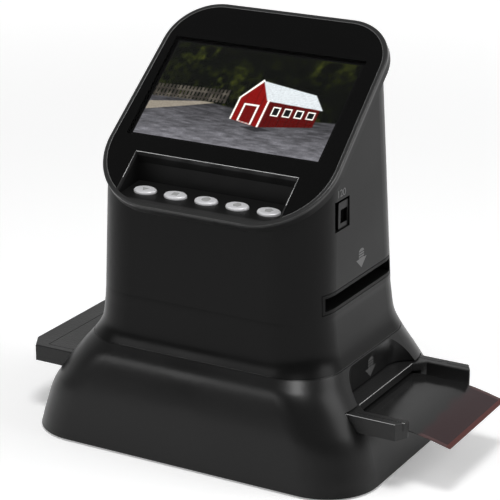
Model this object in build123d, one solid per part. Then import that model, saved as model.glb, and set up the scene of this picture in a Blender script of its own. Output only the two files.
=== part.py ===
from build123d import *
import math
import os

os.makedirs("parts", exist_ok=True)

# Film scanner for roll film and 35 mm film, millimetres.
# +X is the viewer's right, -Y the front, +Z up, z = 0 the standing plane.
# Pieces are drawn about the body's centre plane, x = 0. The last step moves them so that the
# origin is under the middle of the whole object, holder and film included.

# ---- body: a flared foot under a slightly tapered tower --------------------
WALL = 2.6               # moulded wall, measured level
GROUND_GAP = 1.0         # shell's lower edge above the standing plane
WAIST_Z = 60.0           # height at which the tower's sizes are given
TOWER_X = 58.5           # half width at the waist
TOWER_FRONT = -46.2
TOWER_REAR = 51.2
TOWER_R = 22.6           # corner radius
DRAFT_X = 0.0238         # taper per mm of height
DRAFT_FRONT = 0.0216
DRAFT_REAR = 0.0928
TOWER_REACH = 205.0      # how high the form runs before the display cuts it
FLARE_X = 27.1           # how far the foot spreads at the ground
FLARE_FRONT = 15.0
FLARE_REAR = 5.7
FLARE_R = 3.6
SIDE_FLARE = [(0, 1.0), (6, .953), (14, .879), (22, .79), (30, .603), (38, .411),
              (46, .209), (54, .06), (62, .016), (72, 0.0)]
FRONT_FLARE = [(0, 1.0), (6, .955), (14, .90), (25, .83), (32, .74), (40, .58),
               (44, .43), (48, .18), (51, .07), (54, .01), (56, 0.0)]
STATIONS = [6, 12, 18, 24, 29, 34, 38, 41, 44, 47, 50, 53, 56, 61, 66, 72]
SEAM_Z = 48.0            # parting line between foot shell and tower shell
SEAM_GAP = 0.5           # groove that shows at the parting line
SEAM_DEPTH = 0.4
FLANGE_IN = 9.0          # inward flange that carries the joining screws
FLANGE_T = 2.0
FLANGE_BOSS_H = 8.0

# ---- screws ----------------------------------------------------------------
SCREW_R = 1.2
HEAD_R = 2.4
HEAD_T = 1.2
HOLE_GAP = 0.05          # screw in its hole, radial
BOSS_R = 4.0
POST_R = 2.5

# ---- bottom plate and feet -------------------------------------------------
PLATE_T = 2.6
FIT = 0.2                # loose fit between moulded pieces
BOTTOM_BOSS = (68.0, 46.5)
PAD_R = 7.5
PAD_T = 1.5
PAD_AT = (70.0, 30.0)

# ---- film paths ------------------------------------------------------------
AXIS_Y = 1.0             # optical axis and centre line of both film paths
HOLDER_L = -98.0
HOLDER_R = 99.0
HOLDER_W = 80.0
HOLDER_Z = 26.0
HOLDER_T = 7.8
PART_T = 4.0             # thickness of the holder's lower frame
RUN_GAP = 0.25           # holder in its channel
CHANNEL_T = 2.0
RAIL_W = 5.0
CHANNEL_MORE = 2.0       # how much further the channel runs at the left
MOUTH_GAP = 0.35         # extra room at the shell's mouths
ALCOVE_X = 63.7          # upright back wall of the alcove over the right mouth
ALCOVE_HALF = 31.0
ALCOVE_R = 13.0
ALCOVE_TOP = 60.0
ALCOVE_WALL = 2.2
SLOT_Z = 76.0            # upper slot, for 35 mm film
SLOT_H = 6.0
SLOT_HALF = 32.0
LINER_T = 1.8
LINER_LINE = 0.3         # groove that shows between the liner and the shell
LINER_LINE_D = 1.0
WINDOW_X = 43.5          # half size of the roll-film picture window
WINDOW_Y = 28.5

# ---- roll-film holder ------------------------------------------------------
RIM_W = 3.5
END_W = 10.0
COVER_GAP = 0.3
HOLDER_EDGE = 0.4        # small chamfer round the holder's upper edges
ARM_W = 7.0
FORK_X = 72.5            # inner edge of the cross-bar between the two arms
FORK_CUT = 5.0
CUT_L = (5.0, 9.0)       # corner chamfers, left end
CUT_R = (3.2, 6.0)       # corner chamfers, right end
BED_Z = 28.0             # where the film lies
FILM_W = 61.5
FILM_T = 0.3
FILM_L = -60.0
FILM_BEND_X = 90.0       # where the free end begins to droop
FILM_END = (118.0, 23.5)
FILM_SLOPE = -0.24       # slope of the free end
FILM_GAP = 0.25
HINGE_X = (-70.0, 85.0)
HINGE_W = 3.0
HINGE_PIN_R = 0.8
HINGE_PIN_L = 9.0
MAGNET_R = 1.5
MAGNET_T = 1.6
MAGNET_X = (-82.0, 60.0)

# ---- light unit ------------------------------------------------------------
LIGHT_X = 48.0
LIGHT_Y = 34.0
LIGHT_WALL = 1.6
DIFFUSER_T = 2.0
BOARD_T = 1.6
LED = (3.5, 2.8, 1.2)
LED_PITCH = (16.0, 15.0)

# ---- display head ----------------------------------------------------------
DISP_TILT = 38.96        # from level
DISP_Y = -1.6
DISP_Z = 156.8
BEZEL_T = 5.0
BEZEL_HALF = 58.05
BEZEL_TAPER = 0.0237
BEZEL_UP = 53.4
BEZEL_DOWN = 63.5
BEZEL_R_LOW = 34.2
BEZEL_R_HIGH = 24.4
BEZEL_EDGE = 0.8
RIM = 2.0                # width of the satin rim round the glossy window
PANE_T = 1.5
PANE_DEEP = 0.15         # window face below the rim
PANE_GAP = 0.1
SKIRT_T = 1.2
SKIRT_H = 3.0
LCD_X = 52.75
LCD_DOWN = 33.2
LCD_UP = 30.9
LCD_T = 3.2
LCD_GAP = 0.1
TRAY_X = 50.0
TRAY_UP = 41.0
TRAY_DOWN = 43.0
TRAY_T = 1.2
TRAY_SCREWS = [(-40, 36.5), (40, 36.5), (-47, -38.5), (47, -38.5)]
STANDOFF = 5.8
MAIN_X = 46.0
MAIN_UP = 36.0
MAIN_DOWN = 29.0
MAIN_SCREWS = [(-42, -24), (42, -24), (-42, 32), (42, 32)]

# ---- button recess ---------------------------------------------------------
WELL_X = 41.2
WELL_TOP_V = -35.4       # upper edge of the recess on the display face
WELL_BACK_Y = -27.0
WELL_STEP_Z = 129.3      # where the sloped band meets the back wall
WELL_WALL = 1.6
WELL_FLOOR_T = 1.8
WELL_LIP = 0.6
BTN_Y = -37.4
BTN_Z = 119.4
BTN_TILT = 6.0
BTN_PITCH = 15.8
BTN_COUNT = 5
BTN_A = 5.6              # half length and half width of the oval cap
BTN_B = 4.0
BTN_RISE = 1.3
BTN_EDGE = 1.0
BTN_GAP = 0.12
BTN_TRAVEL = 0.6
FLANGE_LAP = 0.8
BTN_FLANGE_T = 1.0
STEM_R = 2.0
STEM_L = 2.2
SWITCH = (6.0, 6.0, 3.4)
PLUNGER_R = 1.7
PLUNGER_H = 0.8
KEY_BOARD_X = 39.0
KEY_BOARD_B = (-4.2, 12.0)
KEY_POST = (23.7, 8.4)

# ---- film-size selector ----------------------------------------------------
SEL_Y = (-24.0, -10.0)   # recess in the right wall
SEL_Z = (110.4, 124.2)
SEL_FLOOR_X = 54.0
SEL_FLOOR_T = 1.6
KNOB_Y = (-19.6, -10.2)
KNOB_Z = (110.6, 122.8)
KNOB_FACE_X = 56.5
KNOB_DIP = (-17.6, -11.1, 112.9, 119.3)
KNOB_DIP_D = 1.5
NECK = (5.0, 4.0)
SEL_TRAVEL = 4.2
SEL_GAP = 0.15
SLIDE_T = 2.0
SLIDE_Y = (-24.0, 9.5)
SLIDE_Z = (104.6, 121.6)
GUIDE_T = 2.0
GUIDE_LIP = 1.4

# ---- optics ----------------------------------------------------------------
BRIDGE_Z = 94.0
BRIDGE_T = 2.5
BRIDGE_X = 53.0
BRIDGE_HALF = 18.0
BRIDGE_HOLE = (12.0, 12.0)
LUG_IN = 8.0
LUG_H = 6.0
LUG_HALF = 13.0
BRIDGE_SCREW = (50.0, 9.0)
ROD_X = 17.0
ROD_R = 1.5
ROD_RUN = 0.06           # running fit of the carriage on the rods
ROD_BOSS_H = 4.0
CARRIAGE_Z = 108.0
CARRIAGE_T = 3.0
CARRIAGE_X = 21.5
CARRIAGE_HALF = 9.0
CARRIAGE_BOSS_H = 9.0
LENS_SHIFT = 1.8         # carriage travel for the full knob travel
BARREL_R = 7.0
BARREL_H = 15.0
GLASS_R = 5.0
GLASS_T = 2.5
ARM = (6.0, 2.5)
PIN_R = 1.2
CAM_GAP = 0.08
LEG_X = 24.5
LEG_T = 2.2
DECK_Z = 121.5
DECK_T = 2.0
DECK_HALF = 12.5
SENSOR_HOLE = 8.0
SENSOR_BOARD = (13.5, 11.5)
SENSOR = (12.0, 12.0, 1.4)

# ---- rear sockets ----------------------------------------------------------
IO_Y = 38.6              # rear face of the socket board
IO_X = 34.0
IO_Z = (88.0, 116.0)
SOCKET_Z = 102.0
SOCKET_Y = 47.0          # mouths of the sockets
USB = (24.0, 9.0, 3.2)
VIDEO = (3.0, 11.2, 3.4)
CARD = (-21.0, 25.0, 2.8)
SOCKET_GAP = 0.3
SOCKET_WALL = 0.4
IO_SCREWS = [(-30, 92), (30, 92), (-30, 112), (30, 112)]

# ---- values that follow from the sizes above -------------------------------
FLARE_TOP = STATIONS[-1]
PLATE_TOP = GROUND_GAP + PLATE_T
HOLDER_TOP = HOLDER_Z + HOLDER_T
HOLDER_Y0 = AXIS_Y - HOLDER_W / 2
HOLDER_Y1 = AXIS_Y + HOLDER_W / 2
PART_Z = HOLDER_Z + PART_T
BED_TOP = HOLDER_Z - RUN_GAP
ROOF_Z = HOLDER_TOP + RUN_GAP
FLOOR_Z = BED_TOP - CHANNEL_T
SLOT_TOP = SLOT_Z + SLOT_H
CHANNEL_R = LIGHT_X + 2 * BOSS_R + 4
CHANNEL_L = -CHANNEL_R - CHANNEL_MORE
ORIGIN_X = (HOLDER_L + FILM_END[0]) / 2
SIN_D = math.sin(math.radians(DISP_TILT))
COS_D = math.cos(math.radians(DISP_TILT))
TAN_B = math.tan(math.radians(BTN_TILT))
PANE_BACK = -(PANE_DEEP + PANE_T)
SLIDE_X = SEL_FLOOR_X - SEL_FLOOR_T - FIT - SLIDE_T
CAM_SLOPE = LENS_SHIFT / SEL_TRAVEL
PIN_Z = CARRIAGE_Z + ARM[1] / 2

DISPLAY = Plane(origin=(0, DISP_Y, DISP_Z), x_dir=(1, 0, 0), z_dir=(0, -SIN_D, COS_D)).location
KEYS = Plane(origin=(0, BTN_Y, BTN_Z), x_dir=(1, 0, 0),
             z_dir=(0, -math.sin(math.radians(BTN_TILT)), math.cos(math.radians(BTN_TILT)))).location


# ---- small helpers ---------------------------------------------------------
def block(x0, x1, y0, y1, z0, z1):
    return Pos((x0 + x1) / 2, (y0 + y1) / 2, (z0 + z1) / 2) * Box(abs(x1 - x0), abs(y1 - y0), abs(z1 - z0))


def rod(x, y, z0, z1, r):
    return Pos(x, y, (z0 + z1) / 2) * Cylinder(r, abs(z1 - z0))


def rod_x(x0, x1, y, z, r):
    return Pos((x0 + x1) / 2, y, z) * Rot(0, 90, 0) * Cylinder(r, abs(x1 - x0))


def rod_y(x, y0, y1, z, r):
    return Pos(x, (y0 + y1) / 2, z) * Rot(90, 0, 0) * Cylinder(r, abs(y1 - y0))


def rounded(x0, x1, y0, y1, z0, z1, r):
    flat = Pos((x0 + x1) / 2, (y0 + y1) / 2, z0) * RectangleRounded(x1 - x0, y1 - y0, r)
    return extrude(flat, z1 - z0)


def profile_x(points, x0, x1):
    """Prism along X from (y, z) points."""
    return extrude(Plane.YZ.offset(x0) * make_face(Polyline(*points, close=True)), x1 - x0)


def corners(half_x, half_y, mid_y=0.0):
    return [(sx * half_x, mid_y + sy * half_y) for sx in (-1, 1) for sy in (-1, 1)]


def screw(x, y, seat, tip, r=SCREW_R):
    """Pan-head screw along Z; the head lies beyond seat, away from tip."""
    away = 1 if seat > tip else -1
    return rod(x, y, tip, seat, r) + rod(x, y, seat, seat + away * HEAD_T, HEAD_R)


def group(solids):
    return Compound(children=[s for part in solids for s in part.solids()])


# ---- body form -------------------------------------------------------------
def flare_slope(table, i):
    (za, fa), (zb, fb) = table[max(i - 1, 0)], table[min(i + 1, len(table) - 1)]
    return (fb - fa) / (zb - za) if i < len(table) - 1 else 0.0


def flare_share(table, z):
    """Share of the full flare at height z: a smooth curve through the table."""
    if z >= table[-1][0]:
        return 0.0
    i = max(k for k, (height, _) in enumerate(table) if height <= z)
    (za, fa), (zb, fb) = table[i], table[i + 1]
    run = zb - za
    t = (z - za) / run
    return (fa * (1 + 2 * t) * (1 - t) ** 2 + fb * t * t * (3 - 2 * t)
            + run * t * (1 - t) * (flare_slope(table, i) * (1 - t) - flare_slope(table, i + 1) * t))


def body_size(z, inset=0.0):
    """Half width, front, rear and corner radius of the body at height z."""
    f, dz = flare_share(SIDE_FLARE, z), z - WAIST_Z
    return (TOWER_X - DRAFT_X * dz + FLARE_X * f - inset,
            TOWER_FRONT + DRAFT_FRONT * dz - FLARE_FRONT * flare_share(FRONT_FLARE, z) + inset,
            TOWER_REAR - DRAFT_REAR * dz + FLARE_REAR * f - inset,
            TOWER_R + FLARE_R * f - inset)


def outline(z, inset=0.0):
    x, front, rear, r = body_size(z, inset)
    return Pos(0, (front + rear) / 2, z) * RectangleRounded(2 * x, rear - front, r)


def foot_form(inset=0.0):
    return loft([outline(z, inset) for z in [GROUND_GAP] + STATIONS])


def tower_form(inset=0.0):
    return loft([outline(FLARE_TOP, inset), outline(TOWER_REACH, inset)], ruled=True)


def slab(z0, z1):
    return block(-150, 150, -150, 150, z0, z1)


def seam_groove(z0, z1):
    """Thin ring of material to take off on both sides of the parting line."""
    lap = slab(z0, z1)
    return (foot_form() & lap) - (foot_form(SEAM_DEPTH) & lap)


def flange(z0, z1):
    mid = (z0 + z1) / 2
    ring = Pos(0, 0, z0 - mid) * (outline(mid, WALL / 2) - outline(mid, WALL + FLANGE_IN))
    return extrude(ring, z1 - z0)


def flange_points():
    """Joining screws, as far out as their bosses fit under the tower wall."""
    x, front, rear, r = body_size(SEAM_Z + FLANGE_BOSS_H, POST_R + FIT)
    return [(-x, front + r), (x, front + r), (-x, rear - r), (x, rear - r)]


def holder_mouth(grow):
    """Room for the holder through the whole width of the foot."""
    return block(-150, 150, HOLDER_Y0 - grow, HOLDER_Y1 + grow, HOLDER_Z - grow, HOLDER_TOP + grow)


def alcove(grow, low):
    """Upright pocket over the right-hand mouth, round in its two inner corners."""
    x0, half = ALCOVE_X - grow, ALCOVE_HALF + grow
    return rounded(x0, x0 + 90, AXIS_Y - half, AXIS_Y + half, low, ALCOVE_TOP, ALCOVE_R + grow)


# ---- shells ----------------------------------------------------------------
def make_base_shell():
    form = foot_form()
    hollow = foot_form(WALL) - alcove(ALCOVE_WALL, HOLDER_TOP + RUN_GAP + MOUTH_GAP)
    shell = (form - hollow) & slab(0, SEAM_Z)
    bosses = Part() + [rod(x, y, PLATE_TOP, SEAM_Z, BOSS_R) for x, y in corners(*BOTTOM_BOSS)]
    shell += (bosses & form) & slab(0, SEAM_Z)
    shell += flange(SEAM_Z - FLANGE_T, SEAM_Z)
    mouth = RUN_GAP + MOUTH_GAP
    shell -= alcove(0, HOLDER_TOP)
    shell -= holder_mouth(mouth)
    shell -= seam_groove(SEAM_Z - SEAM_GAP / 2, SEAM_Z)
    for x, y in corners(*BOTTOM_BOSS):
        shell -= rod(x, y, PLATE_TOP - 1, PLATE_TOP + 8, SCREW_R + HOLE_GAP)
    for x, y in flange_points():
        shell -= rod(x, y, SEAM_Z - FLANGE_T - 1, SEAM_Z + 1, SCREW_R + HOLE_GAP)
    return shell


def selector_pocket():
    """Cup in the right wall for the knob, with rails for the slide behind it."""
    x_in = SEL_FLOOR_X - SEL_FLOOR_T
    cup = block(x_in, 56.5, SEL_Y[0] - 2, SEL_Y[1] + 2, SEL_Z[0] - 2, SEL_Z[1] + 2)
    for edge, side in ((SLIDE_Z[1] + SEL_GAP, 1), (SLIDE_Z[0] - SEL_GAP, -1)):
        far = edge + side * GUIDE_T
        cup += block(SLIDE_X - FIT, 56.5, -21, 5, edge, far)
        cup += block(SLIDE_X - FIT - GUIDE_T, SLIDE_X - FIT, -21, 5, edge - side * GUIDE_LIP, far)
    return cup


def selector_cuts():
    ky = (KNOB_Y[0] + KNOB_Y[1]) / 2
    kz = (SLIDE_Z[0] + SLIDE_Z[1]) / 2 + 4
    cuts = block(SEL_FLOOR_X, 70, SEL_Y[0], SEL_Y[1], SEL_Z[0], SEL_Z[1])
    return cuts + block(SLIDE_X, 70, ky - NECK[0] / 2 - SEL_TRAVEL - SEL_GAP, ky + NECK[0] / 2 + SEL_GAP,
                        kz - NECK[1] / 2 - SEL_GAP, kz + NECK[1] / 2 + SEL_GAP)


def under_bezel(lift=0.0):
    """Everything below the bezel's seat, in the tilted display frame."""
    return DISPLAY * block(-150, 150, -200, 200, -300, -BEZEL_T + lift)


def bridge_lugs():
    top = BRIDGE_Z
    reach = body_size(top)[0]
    lugs = block(-reach + 1, -reach + WALL + LUG_IN, AXIS_Y - LUG_HALF, AXIS_Y + LUG_HALF, top - LUG_H, top)
    return lugs + mirror(lugs, Plane.YZ)


def make_tower_shell():
    outer = (foot_form() & slab(SEAM_Z, FLARE_TOP)) + tower_form()
    inner = (foot_form(WALL) & slab(SEAM_Z, FLARE_TOP)) + tower_form(WALL)
    shell = (outer - inner) & under_bezel()
    shell += flange(SEAM_Z, SEAM_Z + FLANGE_T)
    shell += [rod(x, y, SEAM_Z, SEAM_Z + FLANGE_BOSS_H, POST_R) for x, y in flange_points()]
    shell += bridge_lugs() & outer
    shell += selector_pocket() & outer
    rear = body_size(SOCKET_Z)[2] - WALL / 2
    shell += [rod_y(x, IO_Y, rear, z, POST_R) for x, z in IO_SCREWS]
    shell -= selector_cuts()
    shell -= liner_block()
    shell -= seam_groove(SEAM_Z, SEAM_Z + SEAM_GAP / 2)
    for x, y in flange_points():
        shell -= rod(x, y, SEAM_Z - 1, SEAM_Z + FLANGE_BOSS_H - 1.5, SCREW_R + HOLE_GAP)
    for x, y in corners(*BRIDGE_SCREW, AXIS_Y):
        shell -= rod(x, y, BRIDGE_Z - 5, BRIDGE_Z + 1, SCREW_R + HOLE_GAP)
    for x, z in IO_SCREWS:
        shell -= rod_y(x, IO_Y - 1, IO_Y + 4, z, SCREW_R + HOLE_GAP)
    for x, w, h in (USB, VIDEO, CARD):
        shell -= block(x - w / 2 - SOCKET_GAP, x + w / 2 + SOCKET_GAP, IO_Y + 2, 70,
                       SOCKET_Z - h / 2 - SOCKET_GAP, SOCKET_Z + h / 2 + SOCKET_GAP)
    return shell


def make_bottom_plate():
    plate = extrude(Pos(0, 0, GROUND_GAP - PLATE_TOP) * outline(PLATE_TOP, WALL + FIT), PLATE_T)
    for x, y in corners(*PAD_AT):
        plate -= rod(x, y, 0, PAD_T, PAD_R + HOLE_GAP)
    for x, y in corners(*BOTTOM_BOSS) + post_points():
        plate -= rod(x, y, 0, PLATE_TOP + 1, SCREW_R + HOLE_GAP)
        plate -= rod(x, y, 0, GROUND_GAP + HEAD_T, HEAD_R + FIT)
    return plate


def make_feet():
    pad = chamfer(Cylinder(PAD_R, PAD_T).edges().group_by(Axis.Z)[0], 0.4)
    return group([Pos(x, y, PAD_T / 2) * pad for x, y in corners(*PAD_AT)])


def make_bottom_screws():
    """Shell screws and channel screws, all driven from below."""
    spots = corners(*BOTTOM_BOSS) + post_points()
    return group([screw(x, y, GROUND_GAP + HEAD_T, PLATE_TOP + 7) for x, y in spots])


def make_shell_screws():
    return group([screw(x, y, SEAM_Z - FLANGE_T, SEAM_Z + FLANGE_BOSS_H - 2) for x, y in flange_points()])


# ---- film channel, light unit and upper slot -------------------------------
def post_points():
    return corners(LIGHT_X + BOSS_R + 2, LIGHT_Y, AXIS_Y)


def rail_points():
    return corners(CHANNEL_R - 6, HOLDER_W / 2 + RUN_GAP + RAIL_W / 2, AXIS_Y)


def make_channel_floor():
    half = HOLDER_W / 2 + RUN_GAP
    floor = block(CHANNEL_L, CHANNEL_R, AXIS_Y - half - RAIL_W, AXIS_Y + half + RAIL_W, FLOOR_Z, ROOF_Z)
    floor -= block(-150, 150, AXIS_Y - half, AXIS_Y + half, BED_TOP, ROOF_Z + 1)
    floor -= rounded(-WINDOW_X, WINDOW_X, AXIS_Y - WINDOW_Y, AXIS_Y + WINDOW_Y, FLOOR_Z - 1, BED_TOP + 1, 2)
    floor += [rod(x, y, PLATE_TOP, FLOOR_Z, BOSS_R) for x, y in post_points()]
    for x, y in post_points():
        floor -= rod(x, y, PLATE_TOP - 1, PLATE_TOP + 8, SCREW_R + HOLE_GAP)
    for x, y in rail_points():
        floor -= rod(x, y, ROOF_Z - 6, ROOF_Z + 1, SCREW_R + HOLE_GAP)
    return floor


def make_channel_roof():
    half = HOLDER_W / 2 + RUN_GAP + RAIL_W
    roof = block(CHANNEL_L, CHANNEL_R, AXIS_Y - half, AXIS_Y + half, ROOF_Z, ROOF_Z + CHANNEL_T)
    roof -= rounded(-WINDOW_X, WINDOW_X, AXIS_Y - WINDOW_Y, AXIS_Y + WINDOW_Y, ROOF_Z - 1, ROOF_Z + 9, 2)
    for x, y in rail_points():
        roof -= rod(x, y, ROOF_Z - 1, ROOF_Z + 9, SCREW_R + HOLE_GAP)
    return roof


def make_channel_screws():
    seat = ROOF_Z + CHANNEL_T
    return group([screw(x, y, seat, ROOF_Z - 5.5) for x, y in rail_points()])


def make_light_box():
    top = FLOOR_Z - DIFFUSER_T
    tray = block(-LIGHT_X, LIGHT_X, AXIS_Y - LIGHT_Y, AXIS_Y + LIGHT_Y, PLATE_TOP, top)
    tray = fillet(tray.edges().filter_by(Axis.Z), 3)
    x, y = LIGHT_X - LIGHT_WALL, LIGHT_Y - LIGHT_WALL
    return tray - block(-x, x, AXIS_Y - y, AXIS_Y + y, PLATE_TOP + LIGHT_WALL, top + 1)


def make_diffuser():
    top = FLOOR_Z
    return rounded(-LIGHT_X, LIGHT_X, AXIS_Y - LIGHT_Y, AXIS_Y + LIGHT_Y, top - DIFFUSER_T, top, 3)


def led_board_top():
    return PLATE_TOP + LIGHT_WALL + BOARD_T


def make_led_board():
    x, y = LIGHT_X - LIGHT_WALL - FIT, LIGHT_Y - LIGHT_WALL - FIT
    return block(-x, x, AXIS_Y - y, AXIS_Y + y, led_board_top() - BOARD_T, led_board_top())


def make_leds():
    top = led_board_top()
    spots = [(i * LED_PITCH[0], AXIS_Y + j * LED_PITCH[1]) for i in range(-2, 3) for j in (-1, 0, 1)]
    return group([block(x - LED[0] / 2, x + LED[0] / 2, y - LED[1] / 2, y + LED[1] / 2, top, top + LED[2])
                  for x, y in spots])


def liner_block(line=0.0):
    wall = LINER_T - line
    half = SLOT_HALF + wall
    return block(-150, 150, AXIS_Y - half, AXIS_Y + half, SLOT_Z - wall, SLOT_TOP + wall)


def make_upper_liner():
    liner = (liner_block() & tower_form(LINER_LINE_D)) + (liner_block(LINER_LINE) & tower_form())
    liner -= block(-150, 150, AXIS_Y - SLOT_HALF, AXIS_Y + SLOT_HALF, SLOT_Z, SLOT_TOP)
    liner -= rounded(-26, 26, AXIS_Y - 18, AXIS_Y + 18, SLOT_Z - 9, SLOT_Z + 1, 2)
    return liner - rounded(-22, 22, AXIS_Y - 15, AXIS_Y + 15, SLOT_TOP - 1, SLOT_TOP + 9, 2)


# ---- roll-film holder ------------------------------------------------------
def holder_outline(inset=0.0):
    """Plan of the holder: four cut corners, the right end forked into two arms."""
    x0, x1 = HOLDER_L + inset, HOLDER_R
    y0, y1 = HOLDER_Y0 + inset, HOLDER_Y1 - inset
    (lx, ly), (rx, ry) = CUT_L, CUT_R
    a0, a1 = HOLDER_Y0 + ARM_W, HOLDER_Y1 - ARM_W
    plan = [(x0, y0 + ly), (x0 + lx, y0), (x1 - rx, y0), (x1, HOLDER_Y0 + ry), (x1, a0),
            (FORK_X + FORK_CUT, a0), (FORK_X, a0 + FORK_CUT), (FORK_X, a1 - FORK_CUT), (FORK_X + FORK_CUT, a1),
            (x1, a1), (x1, HOLDER_Y1 - ry), (x1 - rx, y1), (x0 + lx, y1), (x0, y1 - ly)]
    return make_face(Polyline(*plan, close=True))


def picture_window(z0, z1):
    return rounded(-WINDOW_X, WINDOW_X, AXIS_Y - WINDOW_Y, AXIS_Y + WINDOW_Y, z0, z1, 1.5)


def hinge_slots(grow):
    """Notches in the rear rim for the cover's two ears."""
    half = HINGE_W / 2 + grow
    return Part() + [block(x - half, x + half, HOLDER_Y1 - RIM_W - 1, HOLDER_Y1 + 1, PART_Z, HOLDER_TOP + 1)
                     for x in HINGE_X]


def hinge_pins(r, extra=0.0):
    z = PART_Z + (HOLDER_T - PART_T) / 2
    half = HINGE_PIN_L / 2 + extra
    return [rod_x(x - half, x + half, HOLDER_Y1 - RIM_W / 2, z, r) for x in HINGE_X]


def magnet_spots():
    y = HOLDER_Y0 + RIM_W + MAGNET_R + 1.2
    return [(x, y) for x in MAGNET_X]


def make_holder_frame():
    frame = extrude(Pos(0, 0, HOLDER_Z) * holder_outline(), HOLDER_T)
    frame = chamfer(frame.edges().group_by(Axis.Z)[-1], HOLDER_EDGE)
    inner = block(HOLDER_L + END_W, 200, HOLDER_Y0 + RIM_W, HOLDER_Y1 - RIM_W, PART_Z, HOLDER_TOP + 1)
    frame -= inner
    frame -= block(FILM_L - 2, 200, AXIS_Y - FILM_W / 2 - FILM_GAP, AXIS_Y + FILM_W / 2 + FILM_GAP,
                   BED_Z, PART_Z + 1)
    frame -= picture_window(HOLDER_Z - 1, PART_Z + 1)
    frame -= hinge_slots(0)
    frame -= hinge_pins(HINGE_PIN_R + HOLE_GAP, 0.2)
    for x, y in magnet_spots():
        frame -= rod(x, y, PART_Z - MAGNET_T, PART_Z + 1, MAGNET_R + HOLE_GAP)
    return frame


def make_holder_cover():
    low = PART_Z
    cover = extrude(Pos(0, 0, low) * holder_outline(), HOLDER_TOP - low)
    cover = chamfer(cover.edges().group_by(Axis.Z)[-1], HOLDER_EDGE)
    keep = block(HOLDER_L + END_W + COVER_GAP, 200, HOLDER_Y0 + RIM_W + COVER_GAP, HOLDER_Y1 - RIM_W - COVER_GAP,
                 low, HOLDER_TOP)
    half = HINGE_W / 2 - COVER_GAP
    for x in HINGE_X:
        keep += block(x - half, x + half, HOLDER_Y1 - RIM_W - 1, HOLDER_Y1 - 0.3, low, HOLDER_TOP)
    cover = cover & keep
    cover -= picture_window(low - 1, HOLDER_TOP + 1)
    cover -= hinge_pins(HINGE_PIN_R + HOLE_GAP, 0.2)
    for x, y in magnet_spots():
        cover -= rod(x, y, low - 1, low + MAGNET_T, MAGNET_R + HOLE_GAP)
    return cover


def make_hinge_pins():
    return group(hinge_pins(HINGE_PIN_R))


def make_magnets():
    low = [rod(x, y, PART_Z - MAGNET_T, PART_Z, MAGNET_R) for x, y in magnet_spots()]
    high = [rod(x, y, PART_Z, PART_Z + MAGNET_T, MAGNET_R) for x, y in magnet_spots()]
    return group(low + high)


def make_film():
    """Strip that lies flat in the holder and droops where nothing carries it."""
    z = BED_Z + FILM_GAP / 2
    xe, ze = FILM_END
    path = Line((FILM_L, z), (FILM_BEND_X, z)) + Spline((FILM_BEND_X, z), (xe, ze), tangents=[(1, 0), (1, FILM_SLOPE)])
    path = Plane.XZ * path
    y0 = AXIS_Y - FILM_W / 2
    section = Plane(origin=(FILM_L, 0, z), x_dir=(0, 1, 0), z_dir=(1, 0, 0)) * Rectangle(FILM_W, FILM_T)
    section = Pos(0, y0 + FILM_W / 2, FILM_T / 2) * section
    path = Pos(0, y0 + FILM_W / 2, FILM_T / 2) * path
    return sweep(section, path=path)


# ---- display head ----------------------------------------------------------
def bezel_sketch(inset=0.0):
    low, high = BEZEL_HALF + BEZEL_TAPER * BEZEL_DOWN - inset, BEZEL_HALF - BEZEL_TAPER * BEZEL_UP - inset
    v0, v1 = inset - BEZEL_DOWN, BEZEL_UP - inset
    face = make_face(Polyline((-low, v0), (low, v0), (high, v1), (-high, v1), close=True))
    face = fillet(face.vertices().group_by(Axis.Y)[0], BEZEL_R_LOW - inset)
    return fillet(face.vertices().group_by(Axis.Y)[-1], BEZEL_R_HIGH - inset)


def pane_sketch(gap):
    """Glossy window: the rim's inner outline less the button recess and its lip."""
    x = WELL_X + WELL_LIP + gap
    top = WELL_TOP_V + WELL_LIP + gap
    notch = Pos(0, top - 50) * Rectangle(2 * x, 100)
    return bezel_sketch(RIM + gap) - notch


def floor_z(y):
    return BTN_Z + TAN_B * (y - BTN_Y)


def face_point(v, w=0.0):
    """(y, z) of a point of the display frame."""
    return (DISP_Y + v * COS_D - w * SIN_D, DISP_Z + v * SIN_D + w * COS_D)


def well_profile(grow_back, grow_down, above):
    lip_y, lip_z = face_point(WELL_TOP_V + grow_back)
    up_y, up_z = face_point(WELL_TOP_V + grow_back, above)
    back = WELL_BACK_Y + grow_back
    return [(back, floor_z(back) - grow_down), (back, WELL_STEP_Z + grow_back / 4), (lip_y, lip_z), (up_y, up_z),
            (-60, 124), (-60, floor_z(-60) - grow_down)]


def bezel_prism(inset, w0, w1):
    return DISPLAY * extrude(Pos(0, 0, w0) * bezel_sketch(inset), w1 - w0)


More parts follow.
